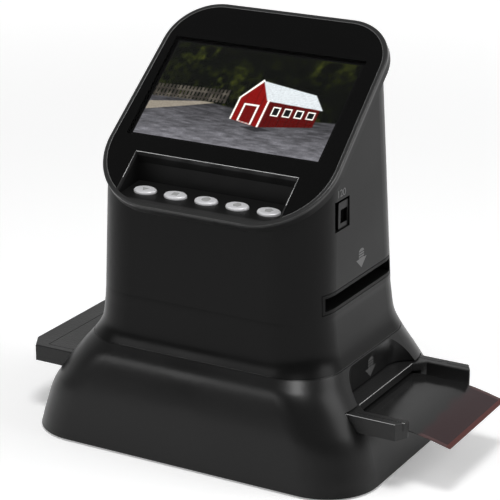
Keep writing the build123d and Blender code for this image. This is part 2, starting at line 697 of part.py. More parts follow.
def make_bezel():
    plate = extrude(Pos(0, 0, -BEZEL_T) * bezel_sketch(), BEZEL_T)
    plate = fillet(plate.edges().group_by(Axis.Z)[-1], BEZEL_EDGE)
    bezel = DISPLAY * plate
    inside = tower_form(WALL + FIT)
    skirt = (inside - tower_form(WALL + FIT + SKIRT_T)) & (DISPLAY * block(-99, 99, -99, 99, -BEZEL_T - SKIRT_H, -BEZEL_T))
    bezel += skirt
    cup = profile_x(well_profile(WELL_WALL, WELL_FLOOR_T, 6), -WELL_X - WELL_WALL, WELL_X + WELL_WALL)
    cup = cup & bezel_prism(RIM / 2, -60, -PANE_DEEP)
    hung = (cup & under_bezel()) & inside
    bezel += (cup - under_bezel()) + hung
    posts = [rod(sx * KEY_POST[0], KEY_POST[1], key_board_top(), -WELL_FLOOR_T + .5, POST_R) for sx in (-1, 1)]
    bezel += KEYS * (Part() + posts)
    bezel -= DISPLAY * extrude(Pos(0, 0, PANE_BACK) * pane_sketch(0), 9)
    well = profile_x(well_profile(0, 0, 9), -WELL_X, WELL_X) & bezel_prism(RIM, -60, 9)
    bezel -= well
    bezel -= DISPLAY * block(-LCD_X - LCD_GAP, LCD_X + LCD_GAP, -LCD_DOWN - LCD_GAP, LCD_UP + LCD_GAP, -9, 2)
    for u, v in TRAY_SCREWS:
        bezel -= DISPLAY * rod(u, v, -BEZEL_T - 1, -BEZEL_T + 2.6, SCREW_R + HOLE_GAP)
    for x in button_xs():
        bezel -= KEYS * Pos(x, 0, -6) * extrude(Ellipse(BTN_A + BTN_GAP, BTN_B + BTN_GAP), 12)
        room = Ellipse(BTN_A + FLANGE_LAP + FIT, BTN_B + FLANGE_LAP + FIT)
        bezel -= KEYS * Pos(x, 0, -WELL_FLOOR_T - 7) * extrude(room, 7)
    for sx in (-1, 1):
        bezel -= KEYS * rod(sx * KEY_POST[0], KEY_POST[1], key_board_top() - 1, key_board_top() + 5, SCREW_R + HOLE_GAP)
    return bezel


def make_pane():
    return DISPLAY * extrude(Pos(0, 0, PANE_BACK) * pane_sketch(PANE_GAP), PANE_T)


def make_lcd():
    top = PANE_BACK - LCD_GAP
    return DISPLAY * block(-LCD_X, LCD_X, -LCD_DOWN, LCD_UP, top - LCD_T, top)


def make_tray():
    """Pressed plate behind the screen, with four standoffs for the main board."""
    tray = rounded(-TRAY_X, TRAY_X, -TRAY_DOWN, TRAY_UP, -BEZEL_T - TRAY_T, -BEZEL_T, 3)
    tray -= block(-WELL_X - 3, WELL_X + 3, -99, -LCD_DOWN + .5, -20, 0)
    tray += [rod(u, v, -BEZEL_T - TRAY_T - STANDOFF, -BEZEL_T - TRAY_T / 2, POST_R) for u, v in MAIN_SCREWS]
    for u, v in TRAY_SCREWS:
        tray -= rod(u, v, -20, 0, SCREW_R + HOLE_GAP)
    for u, v in MAIN_SCREWS:
        tray -= rod(u, v, -BEZEL_T - TRAY_T - STANDOFF - 1, -BEZEL_T - TRAY_T - .8, SCREW_R + HOLE_GAP)
    return (DISPLAY * tray) & tower_form(WALL + SKIRT_T + 2 * FIT)


def main_top():
    return -BEZEL_T - TRAY_T - STANDOFF


def make_main_board():
    board = rounded(-MAIN_X, MAIN_X, -MAIN_DOWN, MAIN_UP, main_top() - BOARD_T, main_top(), 2)
    for u, v in MAIN_SCREWS:
        board -= rod(u, v, -40, 0, SCREW_R + HOLE_GAP)
    return (DISPLAY * board) & tower_form(WALL + 1)


def make_main_chips():
    low = main_top() - BOARD_T
    chips = [(-14, 4, 16, 16, 1.4), (14, 8, 12, 9, 1.1), (14, -10, 12, 9, 1.1), (-34, 16, 8, 12, 1.6), (32, 10, 7, 7, 1.8)]
    return group([DISPLAY * block(u - a / 2, u + a / 2, v - b / 2, v + b / 2, low - h, low)
                  for u, v, a, b, h in chips])


def make_tray_screws():
    return group([DISPLAY * screw(u, v, -BEZEL_T - TRAY_T, -BEZEL_T + 2.4) for u, v in TRAY_SCREWS])


def make_main_screws():
    seat = main_top() - BOARD_T
    return group([DISPLAY * screw(u, v, seat, main_top() + 4) for u, v in MAIN_SCREWS])


# ---- buttons ---------------------------------------------------------------
def button_xs():
    return [BTN_PITCH * (i - (BTN_COUNT - 1) / 2) for i in range(BTN_COUNT)]


def make_button(x):
    cap = extrude(Pos(0, 0, -WELL_FLOOR_T) * Ellipse(BTN_A, BTN_B), WELL_FLOOR_T + BTN_RISE)
    cap = fillet(cap.edges().group_by(Axis.Z)[-1], BTN_EDGE)
    top = -WELL_FLOOR_T - BTN_GAP
    cap += extrude(Pos(0, 0, top - BTN_FLANGE_T) * Ellipse(BTN_A + FLANGE_LAP, BTN_B + FLANGE_LAP), BTN_FLANGE_T)
    cap += extrude(Pos(0, 0, top - .2) * Ellipse(BTN_A - .4, BTN_B - .4), .4)
    cap += rod(0, 0, top - BTN_FLANGE_T - STEM_L, top - BTN_FLANGE_T / 2, STEM_R)
    return KEYS * Pos(x, 0, 0) * cap


def key_board_top():
    """Height of the key board under the recess floor, set by the stems and switches."""
    stem_end = -WELL_FLOOR_T - BTN_GAP - BTN_FLANGE_T - STEM_L
    return stem_end - BTN_TRAVEL - 0.05 - PLUNGER_H - SWITCH[2]


def make_switches():
    low = key_board_top()
    one = block(-SWITCH[0] / 2, SWITCH[0] / 2, -SWITCH[1] / 2, SWITCH[1] / 2, low, low + SWITCH[2])
    one += rod(0, 0, low + SWITCH[2] - .2, low + SWITCH[2] + PLUNGER_H, PLUNGER_R)
    return group([KEYS * Pos(x, 0, 0) * one for x in button_xs()])


def make_key_board():
    top = key_board_top()
    board = block(-KEY_BOARD_X, KEY_BOARD_X, KEY_BOARD_B[0], KEY_BOARD_B[1], top - BOARD_T, top)
    for sx in (-1, 1):
        board -= rod(sx * KEY_POST[0], KEY_POST[1], -30, 0, SCREW_R + HOLE_GAP)
    return KEYS * board


def make_key_screws():
    seat = key_board_top() - BOARD_T
    return group([KEYS * screw(sx * KEY_POST[0], KEY_POST[1], seat, key_board_top() + 4.5) for sx in (-1, 1)])


# ---- selector --------------------------------------------------------------
def make_knob():
    knob = block(SEL_FLOOR_X + FIT, KNOB_FACE_X, KNOB_Y[0], KNOB_Y[1], KNOB_Z[0], KNOB_Z[1])
    knob = fillet(knob.edges().filter_by(Axis.X), 0.6)
    y0, y1, z0, z1 = KNOB_DIP
    knob -= block(KNOB_FACE_X - KNOB_DIP_D, 99, y0, y1, z0, z1)
    return knob


def make_selector_slide():
    """Slide behind the wall; its sloped slot lifts and lowers the lens carriage."""
    slide = block(SLIDE_X, SLIDE_X + SLIDE_T, SLIDE_Y[0], SLIDE_Y[1], SLIDE_Z[0], SLIDE_Z[1])
    slide = fillet(slide.edges().filter_by(Axis.X), 1.5)
    ky = (KNOB_Y[0] + KNOB_Y[1]) / 2
    kz = (SLIDE_Z[0] + SLIDE_Z[1]) / 2 + 4
    slide += block(SLIDE_X + SLIDE_T / 2, SEL_FLOOR_X + FIT, ky - NECK[0] / 2, ky + NECK[0] / 2,
                   kz - NECK[1] / 2, kz + NECK[1] / 2)
    r = PIN_R + CAM_GAP
    y0, y1 = AXIS_Y - 0.2, AXIS_Y + SEL_TRAVEL + 0.2
    z0, z1 = PIN_Z + 0.2 * CAM_SLOPE, PIN_Z - (SEL_TRAVEL + 0.2) * CAM_SLOPE
    n = math.hypot(1, CAM_SLOPE)
    dy, dz = r * CAM_SLOPE / n, r / n
    cut = profile_x([(y0 - dy, z0 - dz), (y1 - dy, z1 - dz), (y1 + dy, z1 + dz), (y0 + dy, z0 + dz)],
                    SLIDE_X - 1, SLIDE_X + SLIDE_T + 1)
    cut += rod_x(SLIDE_X - 1, SLIDE_X + SLIDE_T + 1, y0, z0, r)
    cut += rod_x(SLIDE_X - 1, SLIDE_X + SLIDE_T + 1, y1, z1, r)
    return slide - cut


# ---- optics ----------------------------------------------------------------
def make_bridge():
    bridge = block(-BRIDGE_X, BRIDGE_X, AXIS_Y - BRIDGE_HALF, AXIS_Y + BRIDGE_HALF, BRIDGE_Z, BRIDGE_Z + BRIDGE_T)
    bridge = fillet(bridge.edges().filter_by(Axis.Z), 3)
    bridge += [rod(sx * ROD_X, AXIS_Y, BRIDGE_Z, BRIDGE_Z + BRIDGE_T + ROD_BOSS_H, ROD_R + 2) for sx in (-1, 1)]
    hx, hy = BRIDGE_HOLE
    bridge -= rounded(-hx, hx, AXIS_Y - hy, AXIS_Y + hy, BRIDGE_Z - 1, BRIDGE_Z + 9, 2)
    bridge -= [rod(sx * ROD_X, AXIS_Y, BRIDGE_Z + 1, BRIDGE_Z + 20, ROD_R + HOLE_GAP) for sx in (-1, 1)]
    for x, y in corners(*BRIDGE_SCREW, AXIS_Y) + leg_points():
        bridge -= rod(x, y, BRIDGE_Z - 1, BRIDGE_Z + 9, SCREW_R + HOLE_GAP)
    return bridge


def leg_points():
    return [(sx * (LEG_X + LEG_T + 4), AXIS_Y) for sx in (-1, 1)]


def make_bridge_screws():
    seat = BRIDGE_Z + BRIDGE_T
    main = [screw(x, y, seat, BRIDGE_Z - 4.5) for x, y in corners(*BRIDGE_SCREW, AXIS_Y)]
    return group(main + [screw(x, y, seat + LEG_T, BRIDGE_Z + .3) for x, y in leg_points()])


def make_rods():
    return group([rod(sx * ROD_X, AXIS_Y, BRIDGE_Z + 1, DECK_Z + DECK_T, ROD_R) for sx in (-1, 1)])


def make_carriage():
    top = CARRIAGE_Z + CARRIAGE_T
    body = rounded(-CARRIAGE_X, CARRIAGE_X, AXIS_Y - CARRIAGE_HALF, AXIS_Y + CARRIAGE_HALF, CARRIAGE_Z, top, 4)
    low, high = CARRIAGE_Z - 3, CARRIAGE_Z - 3 + CARRIAGE_BOSS_H
    body += [rod(sx * ROD_X, AXIS_Y, low, high, ROD_R + 2) for sx in (-1, 1)]
    body += rod(0, AXIS_Y, low, top, BARREL_R + 1.6)
    body += block(CARRIAGE_X - 3, SLIDE_X - 3, AXIS_Y - ARM[0] / 2, AXIS_Y + ARM[0] / 2, CARRIAGE_Z, CARRIAGE_Z + ARM[1])
    body += rod_x(SLIDE_X - 4, SLIDE_X + SLIDE_T - .3, AXIS_Y, PIN_Z, PIN_R)
    body -= [rod(sx * ROD_X, AXIS_Y, low - 1, high + 1, ROD_R + ROD_RUN) for sx in (-1, 1)]
    return body - rod(0, AXIS_Y, low - 1, top + 1, BARREL_R)


def make_barrel():
    low = CARRIAGE_Z - 7
    barrel = rod(0, AXIS_Y, low, low + BARREL_H, BARREL_R)
    barrel -= rod(0, AXIS_Y, low - 1, low + BARREL_H + 1, GLASS_R - 1)
    barrel -= rod(0, AXIS_Y, low - 1, low + GLASS_T + 1, GLASS_R)
    return barrel - rod(0, AXIS_Y, low + BARREL_H - GLASS_T - 1, low + BARREL_H + 1, GLASS_R)


def make_glass():
    low = CARRIAGE_Z - 7
    pair = (low + 1, low + BARREL_H - GLASS_T - 1)
    return group([rod(0, AXIS_Y, z, z + GLASS_T, GLASS_R) for z in pair])


def make_sensor_deck():
    foot, high = BRIDGE_Z + BRIDGE_T, DECK_Z + DECK_T
    x = LEG_X + LEG_T
    deck = block(-x, x, AXIS_Y - DECK_HALF, AXIS_Y + DECK_HALF, DECK_Z, high)
    leg = block(LEG_X, x, AXIS_Y - CARRIAGE_HALF, AXIS_Y + CARRIAGE_HALF, foot, high)
    leg += block(LEG_X, x + 8, AXIS_Y - CARRIAGE_HALF, AXIS_Y + CARRIAGE_HALF, foot, foot + LEG_T)
    arm_room = block(LEG_X - 1, x + 1, AXIS_Y - ARM[0] / 2 - 1.5, AXIS_Y + ARM[0] / 2 + 1.5,
                     CARRIAGE_Z - LENS_SHIFT - 1.5, CARRIAGE_Z + ARM[1] + 2)
    deck += (leg - arm_room) + mirror(leg, Plane.YZ)
    deck -= block(-SENSOR_HOLE, SENSOR_HOLE, AXIS_Y - SENSOR_HOLE, AXIS_Y + SENSOR_HOLE, DECK_Z - 1, high + 1)
    deck -= [rod(sx * ROD_X, AXIS_Y, DECK_Z - 1, high + 1, ROD_R + HOLE_GAP) for sx in (-1, 1)]
    for x, y in leg_points():
        deck -= rod(x, y, foot - 1, foot + 4, SCREW_R + HOLE_GAP)
    for x, y in sensor_points():
        deck -= rod(x, y, DECK_Z - 1, high + 1, SCREW_R + HOLE_GAP)
    return deck


def sensor_points():
    x, y = SENSOR_BOARD[0] - 2.5, SENSOR_BOARD[1] - 2.0
    return [(-x, AXIS_Y - y), (x, AXIS_Y + y)]


def make_sensor_board():
    low = DECK_Z + DECK_T
    x, y = SENSOR_BOARD
    board = block(-x, x, AXIS_Y - y, AXIS_Y + y, low, low + BOARD_T)
    for sx, sy in sensor_points():
        board -= rod(sx, sy, low - 1, low + 9, SCREW_R + HOLE_GAP)
    return board


def make_sensor():
    a, b, t = SENSOR
    high = DECK_Z + DECK_T
    return block(-a / 2, a / 2, AXIS_Y - b / 2, AXIS_Y + b / 2, high - t, high)


def make_sensor_screws():
    seat = DECK_Z + DECK_T + BOARD_T
    return group([screw(x, y, seat, DECK_Z + .2) for x, y in sensor_points()])


# ---- rear sockets ----------------------------------------------------------
def make_io_board():
    board = block(-IO_X, IO_X, IO_Y - BOARD_T, IO_Y, IO_Z[0], IO_Z[1])
    for x, z in IO_SCREWS:
        board -= rod_y(x, IO_Y - 9, IO_Y + 9, z, SCREW_R + HOLE_GAP)
    return board


def make_io_screws():
    solids = []
    for x, z in IO_SCREWS:
        seat = IO_Y - BOARD_T
        solids.append(rod_y(x, seat, IO_Y + 3.5, z, SCREW_R) + rod_y(x, seat - HEAD_T, seat, z, HEAD_R))
    return group(solids)


def make_socket(spec, tongue):
    """Metal socket shell, open at the rear, with its contact tongue."""
    x, w, h = spec
    shell = block(x - w / 2, x + w / 2, IO_Y, SOCKET_Y, SOCKET_Z - h / 2, SOCKET_Z + h / 2)
    shell = fillet(shell.edges().filter_by(Axis.Y), h / 2 - .3 if tongue == "round" else .4)
    t = SOCKET_WALL
    room = block(x - w / 2 + t, x + w / 2 - t, IO_Y + 2, SOCKET_Y + 1, SOCKET_Z - h / 2 + t, SOCKET_Z + h / 2 - t)
    if tongue == "round":
        room = fillet(room.edges().filter_by(Axis.Y), h / 2 - t - .1)
    shell -= room
    if tongue != "none":
        shell += block(x - w / 3, x + w / 3, IO_Y + 1, SOCKET_Y - 1, SOCKET_Z - .35, SOCKET_Z + .35)
    return shell


# ---- build -----------------------------------------------------------------
PARTS = {
    "base_shell": make_base_shell,
    "tower_shell": make_tower_shell,
    "bottom_plate": make_bottom_plate,
    "rubber_feet": make_feet,
    "bottom_screws": make_bottom_screws,
    "shell_screws": make_shell_screws,
    "channel_floor": make_channel_floor,
    "channel_roof": make_channel_roof,
    "channel_screws": make_channel_screws,
    "light_box": make_light_box,
    "light_diffuser": make_diffuser,
    "led_board": make_led_board,
    "leds": make_leds,
    "upper_slot_liner": make_upper_liner,
    "holder_frame": make_holder_frame,
    "holder_cover": make_holder_cover,
    "holder_hinge_pins": make_hinge_pins,
    "holder_magnets": make_magnets,
    "film_strip": make_film,
    "display_bezel": make_bezel,
    "display_window": make_pane,
    "lcd_panel": make_lcd,
    "lcd_tray": make_tray,
    "tray_screws": make_tray_screws,
    "main_board": make_main_board,
    "main_chips": make_main_chips,
    "main_screws": make_main_screws,
    "key_switches": make_switches,
    "key_board": make_key_board,
    "key_screws": make_key_screws,
    "selector_knob": make_knob,
    "selector_slide": make_selector_slide,
    "optics_bridge": make_bridge,
    "bridge_screws": make_bridge_screws,
    "guide_rods": make_rods,
    "lens_carriage": make_carriage,
    "lens_barrel": make_barrel,
    "lens_glass": make_glass,
    "sensor_deck": make_sensor_deck,
    "sensor_board": make_sensor_board,
    "image_sensor": make_sensor,
    "sensor_screws": make_sensor_screws,
    "socket_board": make_io_board,
    "socket_screws": make_io_screws,
    "usb_socket": lambda: make_socket(USB, "round"),
    "video_socket": lambda: make_socket(VIDEO, "flat"),
    "card_socket": lambda: make_socket(CARD, "none"),
}
for number, centre in enumerate(button_xs(), 1):
    PARTS[f"button_{number}"] = lambda x=centre: make_button(x)

for node, make in PARTS.items():
    export_step(Pos(-ORIGIN_X, 0, 0) * make(), f"parts/{node}.step")
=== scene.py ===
import math

import bpy
import numpy as np
from mathutils import Matrix, Vector
from mathutils.bvhtree import BVHTree


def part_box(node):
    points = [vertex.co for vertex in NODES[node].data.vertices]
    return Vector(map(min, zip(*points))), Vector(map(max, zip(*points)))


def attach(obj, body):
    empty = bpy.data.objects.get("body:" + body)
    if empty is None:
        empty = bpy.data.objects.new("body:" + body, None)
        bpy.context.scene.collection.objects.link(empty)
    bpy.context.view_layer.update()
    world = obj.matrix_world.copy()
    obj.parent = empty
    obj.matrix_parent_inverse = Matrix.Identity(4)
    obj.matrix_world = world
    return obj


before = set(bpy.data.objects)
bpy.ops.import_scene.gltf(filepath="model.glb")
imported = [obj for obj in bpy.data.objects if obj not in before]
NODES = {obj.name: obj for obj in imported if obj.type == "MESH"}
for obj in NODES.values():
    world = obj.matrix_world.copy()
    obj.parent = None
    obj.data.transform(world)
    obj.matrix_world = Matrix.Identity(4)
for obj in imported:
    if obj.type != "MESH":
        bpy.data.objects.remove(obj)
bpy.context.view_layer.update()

# Film scanner for roll film and 35 mm film. Lengths are metres, written as millimetres times MM.
# The frame's origin lies ORIGIN_X to the right of the body's centre plane.
MM = 0.001
ORIGIN_X = 10 * MM

# ---- camera, as fitted to the photograph -----------------------------------
AZIMUTH = 28.96              # degrees to the right of the front
ELEVATION = 19.06
ROLL = 0.376
DISTANCE = 936.5 * MM
TARGET = Vector((8.0 * MM - ORIGIN_X, -11.6 * MM, 90.65 * MM))
LENS = 148.2                 # focal length and sensor width, in the camera's own millimetres
SENSOR_W = 36.0

# ---- the slanted display ---------------------------------------------------
DISPLAY_TILT = math.radians(38.96)
DISPLAY_AT = Vector((-ORIGIN_X, -1.6 * MM, 156.8 * MM))
LIT_W = 95.04 * MM           # picture area of a 4.3-inch panel
LIT_H = 53.86 * MM
LIT_U = -1.6 * MM            # its centre, across the display and up its slope
LIT_V = 2.6 * MM
WINDOW_BACK = 1.65 * MM      # depth of the window's printed back below the rim's face
WINDOW_SPREAD = 1.2          # the clear part of the window widens so much faster than it rises
WINDOW_SOFT = 0.15 * MM      # half the width over which the print fades
PICTURE_DEPTH = 1.70 * MM    # between the window's back and the panel
PICTURE_COLUMNS = 320
PICTURE_ROWS = 180
PICTURE_CONTRAST = 1.35      # power of the painted linear colours
PICTURE_LIGHT = 1.9          # and their brightness on the panel
RECESS_SHADE = (-2.4 * MM, -1.2 * MM)  # heights on the display where the rim's painted recess shade turns to its lighter painted face

# ---- the rim's outline, in u across and v up the slope ----------------------
FOOT_U, FOOT_V, FOOT_R = 59.55 * MM, -63.5 * MM, 34.2 * MM   # half width, edge and corner, low end
HEAD_U, HEAD_V, HEAD_R = 56.78 * MM, 53.4 * MM, 24.4 * MM    # the same at the high end
WINDOW_INSET = 2.1 * MM      # from the rim's outline to the window's edge
RECESS_U = 41.5 * MM         # half width of the button recess
RECESS_HEAD_V = -35.1 * MM   # its upper edge
RECESS_FOOT_V = -50.0 * MM   # where its side lips run out

# ---- pale beads on moulded edges as painted highlights: radius, and how deep the middle lies ---
WINDOW_BEAD, WINDOW_BEAD_DEPTH = 0.16 * MM, 0.12 * MM
RECESS_BEAD, RECESS_BEAD_DEPTH = 0.25 * MM, 0.20 * MM
SEAM_BEAD, SEAM_BEAD_DEPTH = 0.14 * MM, 0.20 * MM
SEAM_Z = 48.0 * MM
SEAM_POINTS = 240
SEAM_LOOK = 0.5 * MM         # how far above the line the tower's wall is looked up
TOWER_MIDDLE_Y = 2.0 * MM
BESIDE = 0.2                 # rays start so far from the tower's middle,
FAR_RIGHT = 0.5              # or from the right at this x
# bright beads along the holder's edges: painted highlights
HOLDER_BEAD = 0.10 * MM
HOLDER_BEAD_POINTS = 12
HOLDER_HIGHLIGHTS = {
    # name: its two ends, about the body's centre plane
    "arm_outer_highlight": ((64.0 * MM, -38.8 * MM, 33.6 * MM), (95.6 * MM, -38.8 * MM, 33.6 * MM)),
    "arm_inset_highlight": ((64.0 * MM, -35.5 * MM, 33.7 * MM), (98.6 * MM, -35.5 * MM, 33.7 * MM)),
    "crossbar_highlight": ((72.3 * MM, -27.0 * MM, 33.6 * MM), (72.3 * MM, 29.0 * MM, 33.6 * MM)),
}

# ---- printed marks; those on the right wall have their middle at (y, z) -----
INK_T = 0.04 * MM
CAP_MARK = 2.1 * MM          # radius of the figures on the button caps
CAP_MARK_SHIFT = 0.35 * MM   # from a cap's middle towards the front
CAP_SIDES = (3, 4, 16, 6, 5)
NUMBER_TEXT = "120"
NUMBER_SPACING = 0.9
NUMBER_AT = (-17.4 * MM, 127.3 * MM)
NUMBER_W = 7.3 * MM
NUMBER_H = 3.3 * MM
ARROW_W = 10.3 * MM
ARROW_H = 9.1 * MM
ARROW_STEM = 0.25            # half width of the stem, over the arrow's width
ARROW_BAR = 0.085            # the stem's bars, the gaps between them and the head's shoulder,
ARROW_GAP = 0.045            # over the arrow's height
ARROW_SHOULDER = -0.02
ARROW_BARS = 2               # plain bars below the rounded one
UPPER_ARROW_AT = (1.9 * MM, 91.6 * MM)
LOWER_ARROW_AT = (2.0 * MM, 40.0 * MM)
LOWER_ARROW_SIZE = 1.05

# ---- selector knob and film strip --------------------------------------------
KNOB_DIP_X = 56.0 * MM - ORIGIN_X      # the finger dip, painted dark as shade, lies left of this plane
KNOB_DIP_SOFT = 0.1 * MM
FILM_MIDDLE_Y = 1.0 * MM
FILM_W = 61.5 * MM
FILM_EDGE = 2.2 * MM         # clear margin along both sides and the end
FILM_EDGE_SOFT = 0.3 * MM
FILM_DENSE_X = 102.0 * MM - ORIGIN_X   # the exposed part ends here
FILM_FADE = (-2.0 * MM, 1.5 * MM)      # and fades over this span about it
FILM_DRIFT = 10 * MM         # how far its end wanders
FILM_TIP_X = 118.0 * MM - ORIGIN_X

# ---- stage -------------------------------------------------------------------
FLOOR_HALF = 6.0
FLOOR_GREY = 0.98
FLOOR_GLOW = 0.28            # added where a ray shows the floor, so that it reads white
FLOOR_GLOW_FAR = 0.75
FLOOR_NEAR_FAR = (0.35, 1.5)           # the glow rises between these distances
ROOM_FRONT = 0.16            # the room's brightness before and behind the object, and overhead
ROOM_BACK = 0.72
ROOM_TOP = 0.18
ROOM_TURN = (-0.5, 0.6)      # from front to back, in the direction's y
ROOM_RISE = (0.35, 0.8)      # and from level to overhead, in its z
LAMPS = {
    # name: (direction from the object, distance, width, height, brightness)
    "top lamp": ((0.17, -0.30, 0.94), 1.4, 0.36, 0.36, 21.0),
    "front box": ((-0.50, -0.72, 0.46), 1.6, 1.0, 0.5, 3.3),
    "side box": ((0.78, 0.25, 0.58), 1.8, 0.9, 0.9, 3.6),
}


# ---- node wiring -----------------------------------------------------------
def add(tree, kind, feeds=None, **settings):
    """A new node. feeds gives each named socket its value, or the socket that feeds it."""
    node = tree.nodes.new(kind)
    for name, value in settings.items():
        setattr(node, name, value)
    for name, value in (feeds or {}).items():
        feed(tree, node.inputs[name], value)
    return node


def feed(tree, socket, value):
    """Links a socket into another, or sets its plain value."""
    if isinstance(value, bpy.types.NodeSocket):
        tree.links.new(value, socket)
    else:
        socket.default_value = value


def calc(tree, operation, a, b=0.0, clamp=False):
    """The output of one Math node."""
    node = add(tree, "ShaderNodeMath", operation=operation, use_clamp=clamp)
    feed(tree, node.inputs[0], a)
    feed(tree, node.inputs[1], b)
    return node.outputs[0]


def ramp(tree, value, start, end, low, high):
    """value carried smoothly from the span start..end to low..high."""
    node = add(tree, "ShaderNodeMapRange", {"Value": value, "From Min": start, "From Max": end,
                                            "To Min": low, "To Max": high})
    node.interpolation_type = "SMOOTHSTEP"
    return node.outputs["Result"]


def blend_colour(tree, share, a, b):
    """The output of one Mix node on two colours."""
    node = add(tree, "ShaderNodeMix", data_type="RGBA")
    feed(tree, node.inputs["Factor"], share)
    feed(tree, node.inputs[6], a)
    feed(tree, node.inputs[7], b)
    return node.outputs[2]


def here(tree):
    """The piece's own place, in metres."""
    return add(tree, "ShaderNodeTexCoord").outputs["Object"]


def rgb(r, g=None, b=None):
    """An opaque colour from sRGB shares; one number makes a grey."""
    shares = (r, r, r) if g is None else (r, g, b)
    linear = [s / 12.92 if s <= 0.04045 else ((s + 0.055) / 1.055) ** 2.4 for s in shares]
    return (*linear, 1.0)


def times(colour, factor):
    """A lighter or darker copy of a colour."""
    return tuple(min(1.0, c * factor) for c in colour[:3]) + (1.0,)


def open_group(name, inputs, outputs):
    """An empty shader group. inputs and outputs map a socket's name to its kind and value."""
    group = bpy.data.node_groups.new(name, "ShaderNodeTree")
    for label, (kind, value) in inputs.items():
        socket = group.interface.new_socket(label, in_out="INPUT", socket_type=kind)
        if value is not None:
            socket.default_value = value
    for label, kind in outputs.items():
        group.interface.new_socket(label, in_out="OUTPUT", socket_type=kind)
    return group, add(group, "NodeGroupInput").outputs, add(group, "NodeGroupOutput").inputs


FLOAT = "NodeSocketFloat"
VECTOR = "NodeSocketVector"


# ---- effects that several materials share ----------------------------------
def make_grain_group():
    """Spark-eroded mould grain: fine cells for the height, wide soft patches for tone."""
    group, given, out = open_group(
        "moulded grain",
        {"Place": (VECTOR, None), "Grains per metre": (FLOAT, 1800.0), "Relief": (FLOAT, 1.0)},
        {"Height": FLOAT, "Patch": FLOAT})
    fine = add(group, "ShaderNodeTexNoise", {"Vector": given["Place"], "Scale": given["Grains per metre"],
                                             "Detail": 2.0, "Roughness": 0.6})
    cells = add(group, "ShaderNodeTexVoronoi",
                {"Vector": given["Place"], "Scale": given["Grains per metre"]})
    wide = add(group, "ShaderNodeTexNoise", {"Vector": given["Place"], "Scale": 22.0, "Detail": 3.0})
    height = calc(group, "ADD", fine.outputs["Fac"], calc(group, "MULTIPLY", cells.outputs["Distance"], 0.4))
    feed(group, out["Height"], calc(group, "MULTIPLY", height, given["Relief"]))
    feed(group, out["Patch"], wide.outputs["Fac"])
    return group


def make_brushed_group():
    """Turned or drawn metal: long streaks along one axis, and a few darker spots."""
    group, given, out = open_group(
        "drawn metal", {"Place": (VECTOR, None), "Streaks per metre": (FLOAT, 2500.0)},
        {"Height": FLOAT, "Tone": FLOAT})
    drawn = add(group, "ShaderNodeMapping", {"Vector": given["Place"], "Scale": (1.0, 1.0, 0.06)})
    streaks = add(group, "ShaderNodeTexNoise", {"Vector": drawn.outputs["Vector"],
                                                "Scale": given["Streaks per metre"], "Detail": 2.0})
    spots = add(group, "ShaderNodeTexNoise", {"Vector": given["Place"], "Scale": 300.0, "Detail": 4.0})
    feed(group, out["Height"], streaks.outputs["Fac"])
    feed(group, out["Tone"], ramp(group, spots.outputs["Fac"], 0.35, 0.7, 0.75, 1.0))
    return group


def make_trace_group():
    """Circuit board: copper runs on a square grid under the green mask, with round pads."""
    group, given, out = open_group(
        "board traces", {"Place": (VECTOR, None), "Pitch": (FLOAT, 420.0)}, {"Run": FLOAT, "Pad": FLOAT})
    grid = add(group, "ShaderNodeTexBrick",
               {"Vector": given["Place"], "Scale": given["Pitch"], "Mortar Size": 0.06, "Mortar Smooth": 0.1,
                "Color1": (0, 0, 0, 1), "Color2": (0, 0, 0, 1), "Mortar": (1, 1, 1, 1)})
    dots = add(group, "ShaderNodeTexVoronoi", {"Vector": given["Place"], "Scale": given["Pitch"],
                                               "Randomness": 0.55})
    feed(group, out["Run"], grid.outputs["Color"])
    feed(group, out["Pad"], ramp(group, dots.outputs["Distance"], 0.10, 0.16, 1.0, 0.0))
    return group


def make_panel_group():
    """1 over the lit rectangle, 0 outside it.

    The print is on the window's back. So both half sizes of the clear part are larger by WINDOW_SPREAD
    times the height above the back, and seen at a slant the print still ends the picture."""
    group, given, out = open_group("lit area", {"Place": (VECTOR, None)}, {"Inside": FLOAT})
    turned = add(group, "ShaderNodeMapping",
                 {"Vector": given["Place"], "Location": DISPLAY_AT, "Rotation": (DISPLAY_TILT, 0, 0)},
                 vector_type="TEXTURE")
    axes = add(group, "ShaderNodeSeparateXYZ", {"Vector": turned.outputs["Vector"]})
    across = calc(group, "ABSOLUTE", calc(group, "SUBTRACT", axes.outputs["X"], LIT_U))
    up = calc(group, "ABSOLUTE", calc(group, "SUBTRACT", axes.outputs["Y"], LIT_V))
    wider = calc(group, "MULTIPLY", calc(group, "ADD", axes.outputs["Z"], WINDOW_BACK), WINDOW_SPREAD)
    across, up = calc(group, "SUBTRACT", across, wider), calc(group, "SUBTRACT", up, wider)
    inside_u = ramp(group, across, LIT_W / 2 - WINDOW_SOFT, LIT_W / 2 + WINDOW_SOFT, 1.0, 0.0)
    inside_v = ramp(group, up, LIT_H / 2 - WINDOW_SOFT, LIT_H / 2 + WINDOW_SOFT, 1.0, 0.0)
    feed(group, out["Inside"], calc(group, "MULTIPLY", inside_u, inside_v))
    return group


GRAIN = make_grain_group()
DRAWN = make_brushed_group()
TRACES = make_trace_group()
LIT_AREA = make_panel_group()


# ---- materials -------------------------------------------------------------
def new_material(name):
    """An empty material and its node tree."""
    material = bpy.data.materials.new(name)
    material.use_nodes = True
    material.node_tree.nodes.clear()
    return material, material.node_tree


def show(tree, shader):
    """Makes a shader the material's surface."""
    add(tree, "ShaderNodeOutputMaterial", {"Surface": shader})


def relief(tree, height, depth):
    """The normal that a height pattern of that depth gives."""
    return add(tree, "ShaderNodeBump", {"Height": height, "Distance": depth}).outputs["Normal"]


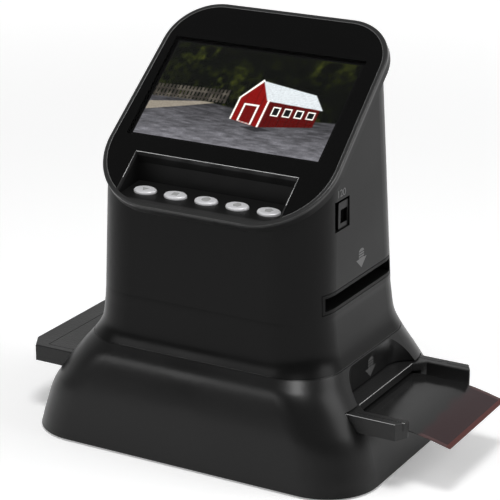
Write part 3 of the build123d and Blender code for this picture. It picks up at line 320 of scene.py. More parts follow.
def plastic(name, colour, roughness, grains=1800.0, depth=0.01 * MM, specular=0.3, tone=0.12):
    """Moulded plastic with its mould grain, tone and gloss drifting a little from place to place."""
    material, tree = new_material(name)
    grain = add(tree, "ShaderNodeGroup", node_tree=GRAIN)
    feed(tree, grain.inputs["Place"], here(tree))
    feed(tree, grain.inputs["Grains per metre"], grains)
    patch = grain.outputs["Patch"]
    shader = add(tree, "ShaderNodeBsdfPrincipled", {
        "Base Color": blend_colour(tree, patch, times(colour, 1 - tone), times(colour, 1 + tone)),
        "Roughness": ramp(tree, patch, 0.3, 0.7, roughness - 0.04, roughness + 0.04),
        "Normal": relief(tree, grain.outputs["Height"], depth),
        "Specular IOR Level": specular})
    show(tree, shader.outputs[0])
    return material


def metal(name, colour, roughness):
    """Plated steel with drawn streaks."""
    material, tree = new_material(name)
    drawn = add(tree, "ShaderNodeGroup", node_tree=DRAWN)
    feed(tree, drawn.inputs["Place"], here(tree))
    shader = add(tree, "ShaderNodeBsdfPrincipled", {
        "Base Color": blend_colour(tree, drawn.outputs["Tone"], times(colour, 0.6), colour),
        "Metallic": 1.0,
        "Roughness": ramp(tree, drawn.outputs["Height"], 0.2, 0.8, roughness - 0.06, roughness + 0.08),
        "Normal": relief(tree, drawn.outputs["Height"], 0.004 * MM)})
    show(tree, shader.outputs[0])
    return material


def lacquer(name, colour):
    """Silver lacquer over plastic: fine flakes that differ a little in tone and in how metallic they are."""
    material, tree = new_material(name)
    flake = add(tree, "ShaderNodeTexVoronoi", {"Vector": here(tree), "Scale": 6000.0}).outputs["Distance"]
    shader = add(tree, "ShaderNodeBsdfPrincipled", {
        "Base Color": blend_colour(tree, flake, times(colour, 0.94), times(colour, 1.06)),
        "Metallic": ramp(tree, flake, 0.2, 0.6, 0.1, 0.3),
        "Roughness": 0.42,
        "Normal": relief(tree, flake, 0.002 * MM)})
    show(tree, shader.outputs[0])
    return material


def rim_plastic(name, lit_face_colour, shaded_recess_colour, roughness):
    """The bezel's plastic: satin charcoal, painted lighter on its face as a painted reflection and darker
    down in the button recess as painted shade.
    """
    material, tree = new_material(name)
    grain = add(tree, "ShaderNodeGroup", node_tree=GRAIN)
    feed(tree, grain.inputs["Place"], here(tree))
    turned = add(tree, "ShaderNodeMapping",
                 {"Vector": here(tree), "Location": DISPLAY_AT, "Rotation": (DISPLAY_TILT, 0, 0)},
                 vector_type="TEXTURE")
    high = add(tree, "ShaderNodeSeparateXYZ", {"Vector": turned.outputs["Vector"]}).outputs["Z"]
    # painted light and shade: 1 on the rim's face, painted lighter; 0 down in the recess, painted darker
    face = ramp(tree, high, *RECESS_SHADE, 0.0, 1.0)
    shader = add(tree, "ShaderNodeBsdfPrincipled", {
        "Base Color": blend_colour(tree, face, shaded_recess_colour, lit_face_colour),
        "Roughness": ramp(tree, face, 0.0, 1.0, roughness + 0.1, roughness),
        "Specular IOR Level": ramp(tree, face, 0.0, 1.0, 0.12, 0.4),
        "Normal": relief(tree, grain.outputs["Height"], 0.004 * MM)})
    show(tree, shader.outputs[0])
    return material


def knob_plastic(name, colour, roughness, dip_face):
    """The knob's plastic: a satin face, and a finger dip left of dip_face that is matt and painted dark as
    painted shade.
    """
    material, tree = new_material(name)
    grain = add(tree, "ShaderNodeGroup", node_tree=GRAIN)
    feed(tree, grain.inputs["Place"], here(tree))
    across = add(tree, "ShaderNodeSeparateXYZ", {"Vector": here(tree)}).outputs["X"]
    # painted shade: a near-black colour in the finger dip, left of dip_face
    face = ramp(tree, across, dip_face - KNOB_DIP_SOFT, dip_face + KNOB_DIP_SOFT, 0.0, 1.0)
    shader = add(tree, "ShaderNodeBsdfPrincipled", {
        "Base Color": blend_colour(tree, face, rgb(0.02), colour),
        "Roughness": ramp(tree, face, 0.0, 1.0, 0.9, roughness),
        "Specular IOR Level": ramp(tree, face, 0.0, 1.0, 0.02, 0.14),
        "Normal": relief(tree, grain.outputs["Height"], 0.004 * MM)})
    show(tree, shader.outputs[0])
    return material


def circuit_board(name, mask_colour):
    """Green solder mask over copper runs, with tinned pads."""
    material, tree = new_material(name)
    traces = add(tree, "ShaderNodeGroup", node_tree=TRACES)
    feed(tree, traces.inputs["Place"], here(tree))
    masked = blend_colour(tree, traces.outputs["Run"], mask_colour, times(mask_colour, 1.9))
    colour = blend_colour(tree, traces.outputs["Pad"], masked, rgb(0.78, 0.77, 0.72))
    shader = add(tree, "ShaderNodeBsdfPrincipled", {
        "Base Color": colour,
        "Metallic": traces.outputs["Pad"],
        "Roughness": ramp(tree, traces.outputs["Run"], 0.0, 1.0, 0.34, 0.28),
        "Normal": relief(tree, traces.outputs["Run"], 0.03 * MM)})
    show(tree, shader.outputs[0])
    return material


def window_material():
    """Polished acrylic, clear over the lit area and printed black behind the rest."""
    material, tree = new_material("printed window")
    area = add(tree, "ShaderNodeGroup", node_tree=LIT_AREA)
    feed(tree, area.inputs["Place"], here(tree))
    haze = add(tree, "ShaderNodeTexNoise", {"Vector": here(tree), "Scale": 40.0, "Detail": 4.0})
    printed = add(tree, "ShaderNodeBsdfPrincipled", {
        "Base Color": blend_colour(tree, haze.outputs["Fac"], rgb(0.02), rgb(0.035)),
        "Roughness": ramp(tree, haze.outputs["Fac"], 0.3, 0.7, 0.05, 0.09),
        "Specular IOR Level": 0.25})
    clear = add(tree, "ShaderNodeBsdfTransparent", {"Color": (1.0, 1.0, 1.0, 1.0)})
    gloss = add(tree, "ShaderNodeBsdfGlossy", {"Color": (1.0, 1.0, 1.0, 1.0), "Roughness": 0.06})
    skin = add(tree, "ShaderNodeMixShader", {"Fac": add(tree, "ShaderNodeFresnel", {"IOR": 1.2}).outputs[0]})
    tree.links.new(clear.outputs[0], skin.inputs[1])
    tree.links.new(gloss.outputs[0], skin.inputs[2])
    whole = add(tree, "ShaderNodeMixShader", {"Fac": area.outputs["Inside"]})
    tree.links.new(printed.outputs[0], whole.inputs[1])
    tree.links.new(skin.outputs[0], whole.inputs[2])
    show(tree, whole.outputs[0])
    return material


def picture_material(attribute):
    """The panel's light: each point shines with its own painted colour."""
    material, tree = new_material("lit picture")
    colour = add(tree, "ShaderNodeAttribute", attribute_name=attribute).outputs["Color"]
    shader = add(tree, "ShaderNodeBsdfPrincipled", {
        "Base Color": rgb(0.02), "Roughness": 0.5, "Specular IOR Level": 0.0,
        "Emission Color": colour, "Emission Strength": 1.0})
    show(tree, shader.outputs[0])
    return material


def film_material():
    """Film base with an exposed grey part, a red-brown end and paler margins, nearly opaque throughout."""
    material, tree = new_material("film base")
    axes = add(tree, "ShaderNodeSeparateXYZ", {"Vector": here(tree)})
    side = calc(tree, "ABSOLUTE", calc(tree, "SUBTRACT", axes.outputs["Y"], FILM_MIDDLE_Y))
    margin_y, margin_x = FILM_W / 2 - FILM_EDGE, FILM_TIP_X - FILM_EDGE
    at_side = ramp(tree, side, margin_y - FILM_EDGE_SOFT, margin_y + FILM_EDGE_SOFT, 0.0, 1.0)
    at_end = ramp(tree, axes.outputs["X"], margin_x - FILM_EDGE_SOFT, margin_x + FILM_EDGE_SOFT, 0.0, 1.0)
    cloud = add(tree, "ShaderNodeTexNoise", {"Vector": here(tree), "Scale": 60.0, "Detail": 4.0})
    drift = calc(tree, "MULTIPLY", calc(tree, "SUBTRACT", cloud.outputs["Fac"], 0.5), FILM_DRIFT)
    front = calc(tree, "ADD", axes.outputs["X"], drift)
    clear_end = ramp(tree, front, FILM_DENSE_X + FILM_FADE[0], FILM_DENSE_X + FILM_FADE[1], 0.0, 1.0)
    body = blend_colour(tree, clear_end, rgb(0.13), rgb(0.20, 0.12, 0.13))
    sides = blend_colour(tree, calc(tree, "MULTIPLY", at_side, clear_end), body, rgb(0.32, 0.22, 0.22))
    colour = blend_colour(tree, at_end, sides, rgb(0.34, 0.16, 0.145))
    shader = add(tree, "ShaderNodeBsdfPrincipled", {
        "Base Color": colour,
        "Roughness": ramp(tree, cloud.outputs["Fac"], 0.3, 0.7, 0.12, 0.2),
        "Alpha": ramp(tree, clear_end, 0.0, 1.0, 0.99, 0.96),
        "Specular IOR Level": 0.2})
    show(tree, shader.outputs[0])
    return material


def glass_material(name, tint):
    """Coated optical glass: mostly clear, with the coating's tint in its reflection."""
    material, tree = new_material(name)
    bloom = add(tree, "ShaderNodeTexNoise", {"Vector": here(tree), "Scale": 180.0})
    shader = add(tree, "ShaderNodeBsdfPrincipled", {
        "Base Color": blend_colour(tree, bloom.outputs["Fac"], tint, times(tint, 1.1)),
        "Roughness": 0.03, "Transmission Weight": 1.0, "IOR": 1.5})
    show(tree, shader.outputs[0])
    return material


def make_materials():
    """Every finish by its short name; greys and colours are sRGB shares."""
    return {
        "shell": plastic("shell plastic", rgb(0.055), 0.32, grains=1500, depth=0.006 * MM, specular=0.12),
        # the foot's plastic is a lighter, glossier copy of the shell's, painted lighter for the brighter
        # light on its front
        "foot": plastic("foot plastic painted lighter", rgb(0.065), 0.32, grains=1500, depth=0.006 * MM, specular=0.28),
        "rim": rim_plastic("rim plastic painted light and shade", rgb(0.18), rgb(0.10), 0.28),
        "holder": plastic("holder plastic", rgb(0.13), 0.38, grains=1000, depth=0.09 * MM, specular=0.3),
        "liner": plastic("liner plastic", rgb(0.06), 0.5, grains=1500, depth=0.01 * MM, specular=0.12),
        "inner": plastic("structural plastic", rgb(0.20), 0.5, grains=1200, depth=0.02 * MM),
        "rubber": plastic("foot rubber", rgb(0.12), 0.75, grains=900, depth=0.03 * MM, specular=0.2),
        "white": plastic("white reflector plastic", rgb(0.90), 0.45, grains=1400, tone=0.04),
        "opal": plastic("opal acrylic", rgb(0.93), 0.35, grains=900, depth=0.004 * MM, tone=0.03),
        "chip": plastic("chip epoxy", rgb(0.11), 0.45, grains=2600, depth=0.01 * MM),
        "anodised": plastic("anodised barrel", rgb(0.09), 0.3, grains=2600, depth=0.01 * MM, specular=0.6),
        "diode": plastic("diode phosphor", rgb(0.93, 0.86, 0.45), 0.35, grains=2600, tone=0.06),
        "panel": plastic("panel frame", rgb(0.22, 0.24, 0.24), 0.3, grains=2600, depth=0.004 * MM),
        "sensor": plastic("sensor window", rgb(0.10, 0.14, 0.16), 0.12, grains=2600, depth=0.001 * MM,
                          specular=0.7),
        "ink": plastic("pale marking ink", rgb(0.43), 0.55, grains=2600, depth=0.002 * MM, tone=0.08),
        "dim ink": plastic("dim marking ink", rgb(0.34), 0.55, grains=2600, depth=0.002 * MM, tone=0.08),
        "silver": lacquer("silver lacquer", rgb(0.93, 0.93, 0.94)),
        "knob": knob_plastic("knob plastic with painted dip shade", rgb(0.075), 0.34, KNOB_DIP_X),
        # pale and bright beads: painted highlights on moulded edges
        "bead": plastic("pale edge highlight", rgb(0.40), 0.3, grains=2600, depth=0.002 * MM, specular=0.5),
        "lip": plastic("bright edge highlight", rgb(0.85), 0.3, grains=2600, depth=0.002 * MM, specular=0.5),
        "cap ink": plastic("grey cap ink", rgb(0.68), 0.5, grains=2600, depth=0.002 * MM, tone=0.06),
        "steel": metal("plated steel", rgb(0.72, 0.72, 0.71), 0.30),
        "nickel": metal("nickel plate", rgb(0.80, 0.78, 0.74), 0.2),
        "board": circuit_board("board", rgb(0.05, 0.30, 0.14)),
        "window": window_material(),
        "film": film_material(),
        "lens": glass_material("lens glass", rgb(0.86, 0.90, 0.97)),
    }


FINISH_OF = {
    "shell": "tower_shell",
    "foot": "base_shell bottom_plate",
    "rim": "display_bezel",
    "knob": "selector_knob",
    "holder": "holder_frame holder_cover",
    "liner": "upper_slot_liner channel_floor channel_roof",
    "inner": "optics_bridge lens_carriage sensor_deck selector_slide",
    "rubber": "rubber_feet",
    "white": "light_box",
    "opal": "light_diffuser",
    "chip": "main_chips key_switches",
    "anodised": "lens_barrel",
    "diode": "leds",
    "panel": "lcd_panel",
    "sensor": "image_sensor",
    "silver": "button_1 button_2 button_3 button_4 button_5",
    "steel": "bottom_screws shell_screws channel_screws tray_screws main_screws key_screws bridge_screws "
             "sensor_screws socket_screws guide_rods holder_hinge_pins lcd_tray usb_socket video_socket "
             "card_socket",
    "nickel": "holder_magnets",
    "board": "led_board main_board key_board sensor_board socket_board",
    "window": "display_window",
    "film": "film_strip",
    "lens": "lens_glass",
}


def finish_nodes(materials):
    """Gives every CAD node its finish."""
    for finish, names in FINISH_OF.items():
        for name in names.split():
            slots = NODES[name].data.materials
            if not slots:
                slots.append(None)
            for index in range(len(slots)):
                slots[index] = materials[finish]


# ---- new pieces ------------------------------------------------------------
def new_piece(name, points, faces, material, body):
    """A mesh piece with its place in its points, riding on a body."""
    mesh = bpy.data.meshes.new(name)
    mesh.from_pydata(np.asarray(points, float).tolist(), [], [list(f) for f in faces])
    mesh.materials.append(material)
    piece = bpy.data.objects.new(name, mesh)
    bpy.context.collection.objects.link(piece)
    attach(piece, body)
    return piece


def grid_faces(rows, columns):
    """Quads of a grid whose points run row by row: each joins a point to its right and upper neighbours."""
    start = (np.arange(rows - 1)[:, None] * columns + np.arange(columns - 1)[None, :]).ravel()
    return np.stack([start, start + 1, start + columns + 1, start + columns], axis=1)


def on_display(u, v, depth):
    """Points of the display: u across, v up the slope, depth below the rim's face. With the tilt t they lie
    at DISPLAY_AT + (u, v cos t + depth sin t, v sin t - depth cos t)."""
    s, c = math.sin(DISPLAY_TILT), math.cos(DISPLAY_TILT)
    x = DISPLAY_AT.x + u
    y = DISPLAY_AT.y + v * c + depth * s
    z = DISPLAY_AT.z + v * s - depth * c
    return np.stack([x, y, z], axis=-1)


# ---- the generic picture on the panel, on a canvas 16 wide and 9 high ------
def soft_step(edge, value, width=0.05):
    """0 below the edge and 1 above it, easing over the width."""
    t = np.clip((value - edge) / width + 0.5, 0, 1)
    return t * t * (3 - 2 * t)


def cloud(x, y, cells, seed):
    """Value noise: random heights at whole cells, eased between them."""
    heights = np.random.default_rng(seed).random((64, 64))
    gx, gy = x * cells, y * cells
    ix, iy = np.floor(gx).astype(int), np.floor(gy).astype(int)
    fx, fy = gx - ix, gy - iy
    fx, fy = fx * fx * (3 - 2 * fx), fy * fy * (3 - 2 * fy)
    corner = [heights[(iy + dy) % 64, (ix + dx) % 64] for dy in (0, 1) for dx in (0, 1)]
    low = corner[0] * (1 - fx) + corner[1] * fx
    high = corner[2] * (1 - fx) + corner[3] * fx
    return low * (1 - fy) + high * fy


def rough_cloud(x, y, cells, seed):
    """Three octaves of value noise, each twice as fine and half as strong."""
    octaves = [cloud(x, y, cells * 2 ** k, seed + k) / 2 ** k for k in range(3)]
    return sum(octaves) / 1.75


def inside(x, y, corners):
    """1 within a convex outline given anticlockwise: the least of its edges' inward distances."""
    least = np.full_like(x, 1e9)
    for (ax, ay), (bx, by) in zip(corners, corners[1:] + corners[:1]):
        length = math.hypot(bx - ax, by - ay)
        least = np.minimum(least, ((bx - ax) * (y - ay) - (by - ay) * (x - ax)) / length)
    return soft_step(0.0, least)


def paint(canvas, mask, colour):
    """Lays a colour over the canvas where the mask says."""
    return canvas * (1 - mask[..., None]) + np.asarray(colour, float) * mask[..., None]


def boards(along, width):
    """Plank joints: a thin dark line once per width."""
    return 1 - 0.35 * (1 - soft_step(0.08, np.abs((along / width) % 1 - 0.5) * 2, 0.12))


def paint_trees(x, y):
    """Leaves from fine noise, between a dark and a lit green, in light that slow noise lets through."""
    leaves = rough_cloud(x, y, 2.2, 3)
    light = rough_cloud(x + 9, y, 0.35, 8)
    dark, lit = np.array([0.05, 0.065, 0.035]), np.array([0.37, 0.39, 0.16])
    share = np.clip((leaves - 0.38) * 2.0, 0, 1) * np.clip(light * 1.5 - 0.25, 0.08, 1)
    return dark + (lit - dark) * share[..., None]


def paint_yard(canvas, x, y):
    """Grey gravel below the horizon, streaked level, with a pale track that runs off to the left."""
    horizon = 3.55 + 0.25 * np.sin(x * 0.35 + 0.6)
    gravel = 0.42 + 0.22 * (rough_cloud(x * 0.5, y * 3.0, 2.5, 21) - 0.5) - 0.05 * (y - 1)
    ground = gravel[..., None] * np.array([1.0, 0.995, 1.03])
    mask = soft_step(0.0, horizon - y, 0.12)[..., None]
    canvas = canvas * (1 - mask) + ground * mask
    track = inside(x, y, [(0.0, 2.3), (3.2, 3.1), (5.6, 3.75), (4.6, 3.78), (0.0, 3.1)])
    return paint(canvas, track * 0.8, (0.62, 0.59, 0.54))


def paint_boathouse(canvas, x, y):
    """A red timber boathouse with white trim: a gable end, a long wall and a pale roof."""
    wall = inside(x, y, [(7.4, 2.55), (9.9, 2.15), (9.9, 4.75), (7.4, 4.7)])
    gable = inside(x, y, [(7.4, 4.65), (9.9, 4.7), (8.75, 6.35)])
    side = inside(x, y, [(9.9, 2.15), (14.3, 2.85), (14.3, 4.55), (9.9, 4.75)])
    roof = inside(x, y, [(9.75, 4.62), (14.55, 4.45), (13.5, 5.75), (8.75, 6.4)])
    red = np.array([0.52, 0.09, 0.08])
    front_red = red * boards(x, 0.28)[..., None]
    side_red = red * 0.72 * boards(x, 0.33)[..., None]
    for mask, colour in ((wall, front_red), (gable, front_red), (side, side_red)):
        canvas = canvas * (1 - mask[..., None]) + colour * mask[..., None]
    slats = (0.72 + 0.1 * boards(y - x * 0.1, 0.22))[..., None] * np.array([0.93, 0.95, 0.96])
    canvas = canvas * (1 - roof[..., None]) + slats * roof[..., None]
    white, shade = (0.86, 0.86, 0.84), (0.10, 0.11, 0.12)
    trims = [[(7.3, 4.55), (7.45, 4.5), (8.85, 6.38), (8.7, 6.55)],
             [(8.65, 6.38), (8.8, 6.55), (10.05, 4.65), (9.85, 4.6)],
             [(9.8, 2.15), (9.98, 2.15), (9.98, 4.75), (9.8, 4.75)],
             [(7.36, 2.56), (7.5, 2.52), (7.5, 4.6), (7.36, 4.6)]]
    for outline in trims:
        canvas = paint(canvas, inside(x, y, outline), white)
    door_frame = [(8.0, 2.48), (9.3, 2.27), (9.3, 4.15), (8.0, 4.15)]
    door = [(8.15, 2.5), (9.15, 2.35), (9.15, 4.0), (8.15, 4.0)]
    canvas = paint(canvas, inside(x, y, door_frame), white)
    canvas = paint(canvas, inside(x, y, door), (0.44, 0.08, 0.07))
    for number in range(4):
        left, low, high = 10.5 + number * 0.98, 3.35 + number * 0.05, 4.2
        for edge, colour in ((0.0, white), (0.1, shade)):
            x0, x1, y0, y1 = left + edge, left + 0.66 - edge, low + edge, high - edge
            canvas = paint(canvas, inside(x, y, [(x0, y0), (x1, y0), (x1, y1), (x0, y1)]), colour)
    shadow = inside(x, y, [(7.3, 2.2), (9.9, 1.75), (14.6, 2.6), (14.3, 2.9), (9.9, 2.2), (7.4, 2.6)])
    return paint(canvas, shadow * 0.6 * (1 - np.maximum(wall, side)), (0.16, 0.16, 0.17))


def paint_fence(canvas, x, y):
    """A weathered picket fence before the trees at the left."""
    line = 3.9 + 0.04 * x
    span = soft_step(0.0, 6.4 - x)
    pickets = soft_step(0.0, 0.62 - np.abs((x * 3.1) % 1 - 0.5) * 2, 0.2)
    tall = soft_step(0.0, line + 0.95 - y) * soft_step(0.0, y - line + 0.3)
    rail = soft_step(0.0, 0.07 - np.abs(y - line - 0.55)) + soft_step(0.0, 0.07 - np.abs(y - line))
    tone = 0.24 + 0.16 * cloud(x, y, 3.0, 40)
    mask = np.clip(pickets * tall + rail, 0, 1) * span
    timber = tone[..., None] * np.array([1.05, 1.0, 0.93])
    return canvas * (1 - mask[..., None]) + timber * mask[..., None]


def paint_scene(rows, columns):
    """The whole canvas as linear colours: trees, yard, fence and boathouse, laid one over the other."""
    x, y = np.meshgrid(np.linspace(0, 16, columns), np.linspace(0, 9, rows))
    canvas = paint_trees(x, y)
    canvas = paint_yard(canvas, x, y)
    canvas = paint_fence(canvas, x, y)
    canvas = paint_boathouse(canvas, x, y)
    fine = 1 + 0.12 * (np.random.default_rng(5).random(x.shape) - 0.5)
    shares = np.clip(canvas * fine[..., None], 0, 1)
    return np.where(shares <= 0.04045, shares / 12.92, ((shares + 0.055) / 1.055) ** 2.4)


def make_picture():
    """The lit picture: a flat grid of evenly spaced points just above the panel, each with its colour."""
    u = LIT_U + np.linspace(-LIT_W / 2, LIT_W / 2, PICTURE_COLUMNS)
    v = LIT_V + np.linspace(-LIT_H / 2, LIT_H / 2, PICTURE_ROWS)
    points = on_display(*np.meshgrid(u, v), PICTURE_DEPTH).reshape(-1, 3)
    piece = new_piece("lit_picture", points, grid_faces(PICTURE_ROWS, PICTURE_COLUMNS),
                      picture_material("picture"), "housing")
    colours = np.ones((PICTURE_ROWS * PICTURE_COLUMNS, 4), np.float32)
    painted = paint_scene(PICTURE_ROWS, PICTURE_COLUMNS).reshape(-1, 3)
    colours[:, :3] = painted ** PICTURE_CONTRAST * PICTURE_LIGHT
    layer = piece.data.color_attributes.new("picture", "FLOAT_COLOR", "POINT")
    layer.data.foreach_set("color", colours.ravel())
    return piece


# ---- thin pale beads on moulded edges: painted highlights ------------------
def rounded_loop(corners, radii, steps=12):
    """A closed outline through round corners: at each corner an arc that touches both sides, radius r."""
    points = []
    count = len(corners)
    for i, r in enumerate(radii):
        at = np.asarray(corners[i], float)
        back = np.asarray(corners[i - 1], float) - at
        on = np.asarray(corners[(i + 1) % count], float) - at
        back, on = back / np.linalg.norm(back), on / np.linalg.norm(on)
        half = math.acos(float(np.clip(back @ on, -1, 1))) / 2
        middle = back + on
        centre = at + middle / np.linalg.norm(middle) * r / math.sin(half)
        start, end = (at + side * r / math.tan(half) - centre for side in (back, on))
        a0, a1 = math.atan2(start[1], start[0]), math.atan2(end[1], end[0])
        turn = (a1 - a0 + math.pi) % (2 * math.pi) - math.pi
        angles = a0 + turn * np.linspace(0, 1, steps)
        points.append(centre + r * np.stack([np.cos(angles), np.sin(angles)], axis=1))
    return np.concatenate(points)


def tube(name, path, across, up, radius, material, body, closed):
    """A thin bead along a path p: at each of its points a ring p + radius (across cos a + up sin a)."""
    sides = 8
    angles = np.linspace(0, 2 * math.pi, sides, endpoint=False)[None, :, None]
    ring = across[:, None, :] * np.cos(angles) + up[:, None, :] * np.sin(angles)
    points = (path[:, None, :] + radius * ring).reshape(-1, 3)
    rows = len(path)
    faces = []
    for i in range(rows if closed else rows - 1):
        here_row, next_row = i * sides, (i + 1) % rows * sides
        for j in range(sides):
            k = (j + 1) % sides
            faces.append((here_row + j, here_row + k, next_row + k, next_row + j))
    piece = new_piece(name, points, faces, material, body)
    piece.data.shade_smooth()
    return piece


def bead_on_display(name, flat, radius, depth, material, closed):
    """A bead along a path of (u, v) points on the display face."""
    flat = np.asarray(flat, float)
    path = on_display(flat[:, 0], flat[:, 1], depth)
    along = np.gradient(path, axis=0) if not closed else np.roll(path, -1, 0) - np.roll(path, 1, 0)
    along /= np.linalg.norm(along, axis=1)[:, None]
    up = np.tile((0, -math.sin(DISPLAY_TILT), math.cos(DISPLAY_TILT)), (len(path), 1))
    return tube(name, path, np.cross(up, along), up, radius, material, "housing", closed)


def make_window_edge(material):
    """A painted highlight on the window's edge: a pale bead along the rim's outline drawn inwards by
    WINDOW_INSET, open where the button recess cuts it.
    """
    foot_u, head_u = FOOT_U - WINDOW_INSET, HEAD_U - WINDOW_INSET
    foot_v, head_v = FOOT_V + WINDOW_INSET, HEAD_V - WINDOW_INSET
    foot_r, head_r = FOOT_R - WINDOW_INSET, HEAD_R - WINDOW_INSET
    loop = rounded_loop([(-foot_u, foot_v), (foot_u, foot_v), (head_u, head_v), (-head_u, head_v)],
                        [foot_r, foot_r, head_r, head_r])
    kept = (np.abs(loop[:, 0]) > RECESS_U) | (loop[:, 1] > RECESS_HEAD_V)
    first = np.flatnonzero(~kept)[-1] + 1
    run = np.roll(loop, -first, 0)[:kept.sum()]
    bead_on_display("window_edge_highlight", run, WINDOW_BEAD, WINDOW_BEAD_DEPTH, material, False)


def make_recess_lip(material):
    """A painted highlight on the recess's upper and side lips: a bright bead in three straight runs."""
    run = [(-RECESS_U, RECESS_FOOT_V), (-RECESS_U, RECESS_HEAD_V), (RECESS_U, RECESS_HEAD_V),
           (RECESS_U, RECESS_FOOT_V)]
    bead_on_display("recess_lip_highlight", run, RECESS_BEAD, RECESS_BEAD_DEPTH, material, False)


def make_parting_line(material):
    """The lip that shows in the parting line, a pale bead as a painted highlight: a loop at the line's
    height, just inside the tower's wall, which rays from outside find at evenly spaced angles."""
    tower = surface_of("tower_shell")
    middle = Vector((-ORIGIN_X, TOWER_MIDDLE_Y, SEAM_Z + SEAM_LOOK))
    path, out = [], []
    for angle in np.linspace(0, 2 * math.pi, SEAM_POINTS, endpoint=False):
        ray = Vector((math.cos(angle), math.sin(angle), 0))
        place, normal, _, _ = tower.ray_cast(middle + ray * BESIDE, -ray)
        path.append((place.x, place.y, SEAM_Z))
        out.append(Vector((normal.x, normal.y, 0)).normalized())
    path, out = np.array(path), np.array(out)
    up = np.tile((0.0, 0.0, 1.0), (len(path), 1))
    tube("parting_line_highlight", path - out * SEAM_BEAD_DEPTH, out, up, SEAM_BEAD, material, "housing",
         True)


def make_holder_highlights(material):
    """Painted highlights on the upper edges of the holder's arm and crossbar, as straight bright beads."""
    up = np.tile((0.0, 0.0, 1.0), (HOLDER_BEAD_POINTS, 1))
    for name, ends in HOLDER_HIGHLIGHTS.items():
        start, end = np.array(ends) - (ORIGIN_X, 0, 0)
        path = np.linspace(start, end, HOLDER_BEAD_POINTS)
        along = np.tile((end - start) / np.linalg.norm(end - start), (HOLDER_BEAD_POINTS, 1))
        tube(name, path, np.cross(along, up), up, HOLDER_BEAD, material, "film_holder",
             False)


# ---- printed marks ---------------------------------------------------------
def surface_of(node):
    """A search tree over a CAD node's triangles."""
    return BVHTree.FromObject(NODES[node], bpy.context.evaluated_depsgraph_get())


def print_on_right(name, flat, faces, middle, tree, material):
    """Lays a flat mark, (y, z) about its own middle, on the right wall: each point goes where a ray from
    the right meets the wall, and INK_T out along its normal."""
    points = []
    for y, z in np.asarray(flat) + np.asarray(middle):
        place, normal, _, _ = tree.ray_cast(Vector((FAR_RIGHT, y, z)), Vector((-1, 0, 0)))
        points.append(place + normal * INK_T)
    return new_piece(name, points, faces, material, "housing")


def arrow_outline(size):
    """A downward arrow: a half-ellipse, then ARROW_BARS bars, over a solid stem and head."""
    w, h = ARROW_W * size, ARROW_H * size
    stem, bar, gap, shoulder = ARROW_STEM * w, ARROW_BAR * h, ARROW_GAP * h, ARROW_SHOULDER * h
    top = h / 2
    points, faces = [], []

    def polygon(corners):
        faces.append(range(len(points), len(points) + len(corners)))
        points.extend(corners)

    arc = [math.pi * k / 12 for k in range(13)]
    polygon([(stem * math.cos(a), top - 2 * bar + 2 * bar * math.sin(a)) for a in arc])
    high = top - 2 * bar - gap
    for _ in range(ARROW_BARS):
        polygon([(-stem, high - bar), (stem, high - bar), (stem, high), (-stem, high)])
        high -= bar + gap
    polygon([(0, -h / 2), (w / 2, shoulder), (stem, shoulder), (stem, high), (-stem, high),
             (-stem, shoulder), (-w / 2, shoulder)])
    return points, faces


def number_outline():
    """The film-size number as a flat mesh, scaled to its printed width and height."""
    curve = bpy.data.curves.new("number", "FONT")
    curve.body = NUMBER_TEXT
    curve.space_character = NUMBER_SPACING
    source = bpy.data.objects.new("number", curve)
    bpy.context.collection.objects.link(source)
    mesh = bpy.data.meshes.new_from_object(source)
    flat = np.empty(len(mesh.vertices) * 3)
    mesh.vertices.foreach_get("co", flat)
    flat = flat.reshape(-1, 3)[:, :2]
    low, high = flat.min(0), flat.max(0)
    flat = (flat - (low + high) / 2) / (high - low) * (NUMBER_W, NUMBER_H)
    faces = [tuple(p.vertices) for p in mesh.polygons]
    bpy.data.objects.remove(source)
    bpy.data.curves.remove(curve)
    bpy.data.meshes.remove(mesh)
    return flat, faces


def print_on_cap(number, sides, material):
    """A small even-sided figure laid on top of a button: points at even angles on a circle of radius
    CAP_MARK, odd figures turned by a quarter step and the square by half a step."""
    node = f"button_{number}"
    tree = surface_of(node)
    low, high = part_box(node)
    middle = ((low[0] + high[0]) / 2, (low[1] + high[1]) / 2 - CAP_MARK_SHIFT)
    points = []
    for k in range(sides):
        turn = 2 * math.pi * (k + 0.25 * (sides % 2) + 0.5 * (sides == 4)) / sides
        x, y = middle[0] + CAP_MARK * math.cos(turn), middle[1] + CAP_MARK * math.sin(turn)
        place, normal, _, _ = tree.ray_cast(Vector((x, y, high[2] + MM)), Vector((0, 0, -1)))
        points.append(place + normal * INK_T)
    return new_piece(f"{node}_mark", points, [range(sides)], material, node)


def make_marks(materials):
    """The film-size number and the two arrows on the right wall, and a figure on each button's cap."""
    tower, base = surface_of("tower_shell"), surface_of("base_shell")
    print_on_right("size_number", *number_outline(), NUMBER_AT, tower, materials["ink"])
    print_on_right("upper_arrow", *arrow_outline(1.0), UPPER_ARROW_AT, tower, materials["ink"])
    print_on_right("lower_arrow", *arrow_outline(LOWER_ARROW_SIZE), LOWER_ARROW_AT, base,
                   materials["dim ink"])
    for number, sides in enumerate(CAP_SIDES, 1):
        print_on_cap(number, sides, materials["cap ink"])


# ---- floor, room, lamps and camera ----------------------------------------
def shown_ray(tree):
    """1 for rays that show the background: seen directly, mirrored, or through glass."""
    path = add(tree, "ShaderNodeLightPath").outputs
    seen = calc(tree, "ADD", path["Is Camera Ray"], path["Is Glossy Ray"])
    return calc(tree, "ADD", seen, path["Is Transmission Ray"], clamp=True)


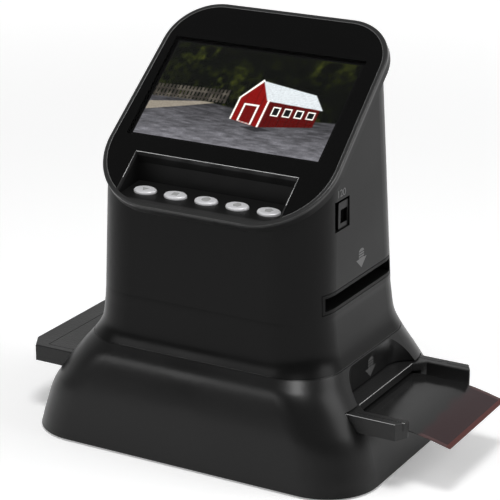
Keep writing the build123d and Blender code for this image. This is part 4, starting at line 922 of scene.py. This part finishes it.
def make_floor():
    """A pale floor that keeps the object's shadow and glows a little, more so further away."""
    h = FLOOR_HALF
    mesh = bpy.data.meshes.new("floor")
    mesh.from_pydata([(-h, -h, 0), (h, -h, 0), (h, h, 0), (-h, h, 0)], [], [(0, 1, 2, 3)])
    floor = bpy.data.objects.new("floor", mesh)
    bpy.context.collection.objects.link(floor)
    material, tree = new_material("pale floor")
    diffuse = add(tree, "ShaderNodeBsdfDiffuse", {"Color": rgb(FLOOR_GREY)})
    glow = add(tree, "ShaderNodeEmission", {"Color": (1, 1, 1, 1)})
    away = add(tree, "ShaderNodeVectorMath", {"Vector": here(tree)}, operation="LENGTH").outputs["Value"]
    level = ramp(tree, away, *FLOOR_NEAR_FAR, FLOOR_GLOW, FLOOR_GLOW_FAR)
    feed(tree, glow.inputs["Strength"], calc(tree, "MULTIPLY", shown_ray(tree), level))
    both = add(tree, "ShaderNodeAddShader")
    tree.links.new(diffuse.outputs[0], both.inputs[0])
    tree.links.new(glow.outputs[0], both.inputs[1])
    show(tree, both.outputs[0])
    mesh.materials.append(material)


def make_room():
    """A soft room: dim before the object, brighter behind it, dim overhead; white where seen directly."""
    world = bpy.data.worlds.new("room")
    bpy.context.scene.world = world
    world.use_nodes = True
    tree = world.node_tree
    tree.nodes.clear()
    direction = add(tree, "ShaderNodeTexCoord").outputs["Generated"]
    axes = add(tree, "ShaderNodeSeparateXYZ", {"Vector": direction})
    level = ramp(tree, axes.outputs["Y"], *ROOM_TURN, ROOM_FRONT, ROOM_BACK)
    overhead = ramp(tree, axes.outputs["Z"], *ROOM_RISE, 0.0, 1.0)
    towards_top = calc(tree, "MULTIPLY", overhead, calc(tree, "SUBTRACT", ROOM_TOP, level))
    soft = calc(tree, "ADD", level, towards_top)
    seen = add(tree, "ShaderNodeLightPath").outputs["Is Camera Ray"]
    strength = calc(tree, "MAXIMUM", soft, seen)
    light = add(tree, "ShaderNodeBackground", {"Color": (1, 1, 1, 1), "Strength": strength})
    add(tree, "ShaderNodeOutputWorld", {"Surface": light.outputs[0]})


def make_lamps():
    """Rectangular lamps around the object, each turned towards it; their power follows from their size."""
    for name, (direction, distance, width, height, brightness) in LAMPS.items():
        away = Vector(direction).normalized()
        light = bpy.data.lights.new(name, "AREA")
        light.shape = "RECTANGLE"
        light.size, light.size_y = width, height
        light.energy = brightness * math.pi * width * height
        lamp = bpy.data.objects.new(name, light)
        turned = away.to_track_quat("Z", "Y").to_matrix().to_4x4()
        lamp.matrix_world = Matrix.Translation(TARGET + away * distance) @ turned
        bpy.context.collection.objects.link(lamp)


def make_camera():
    """The camera looks at TARGET from DISTANCE away, at AZIMUTH and ELEVATION, and is turned by ROLL."""
    a, e, r = (math.radians(v) for v in (AZIMUTH, ELEVATION, ROLL))
    back = Vector((math.sin(a) * math.cos(e), -math.cos(a) * math.cos(e), math.sin(e)))
    right = Vector((math.cos(a), math.sin(a), 0))
    up = back.cross(right)
    turned_right = right * math.cos(r) + up * math.sin(r)
    turned_up = up * math.cos(r) - right * math.sin(r)
    place = Matrix((turned_right, turned_up, back)).transposed().to_4x4()
    place.translation = TARGET + back * DISTANCE
    data = bpy.data.cameras.new("camera")
    data.lens = LENS
    data.sensor_width = SENSOR_W
    data.clip_start, data.clip_end = 0.05, 50.0
    camera = bpy.data.objects.new("camera", data)
    camera.matrix_world = place
    bpy.context.collection.objects.link(camera)
    bpy.context.scene.camera = camera


# ---- build -----------------------------------------------------------------
materials = make_materials()
finish_nodes(materials)
make_picture()
make_marks(materials)
make_window_edge(materials["bead"])
make_recess_lip(materials["lip"])
make_parting_line(materials["bead"])
make_holder_highlights(materials["lip"])
make_floor()
make_room()
make_lamps()
make_camera()
bpy.context.scene.view_settings.view_transform = "Standard"

bpy.context.view_layer.update()
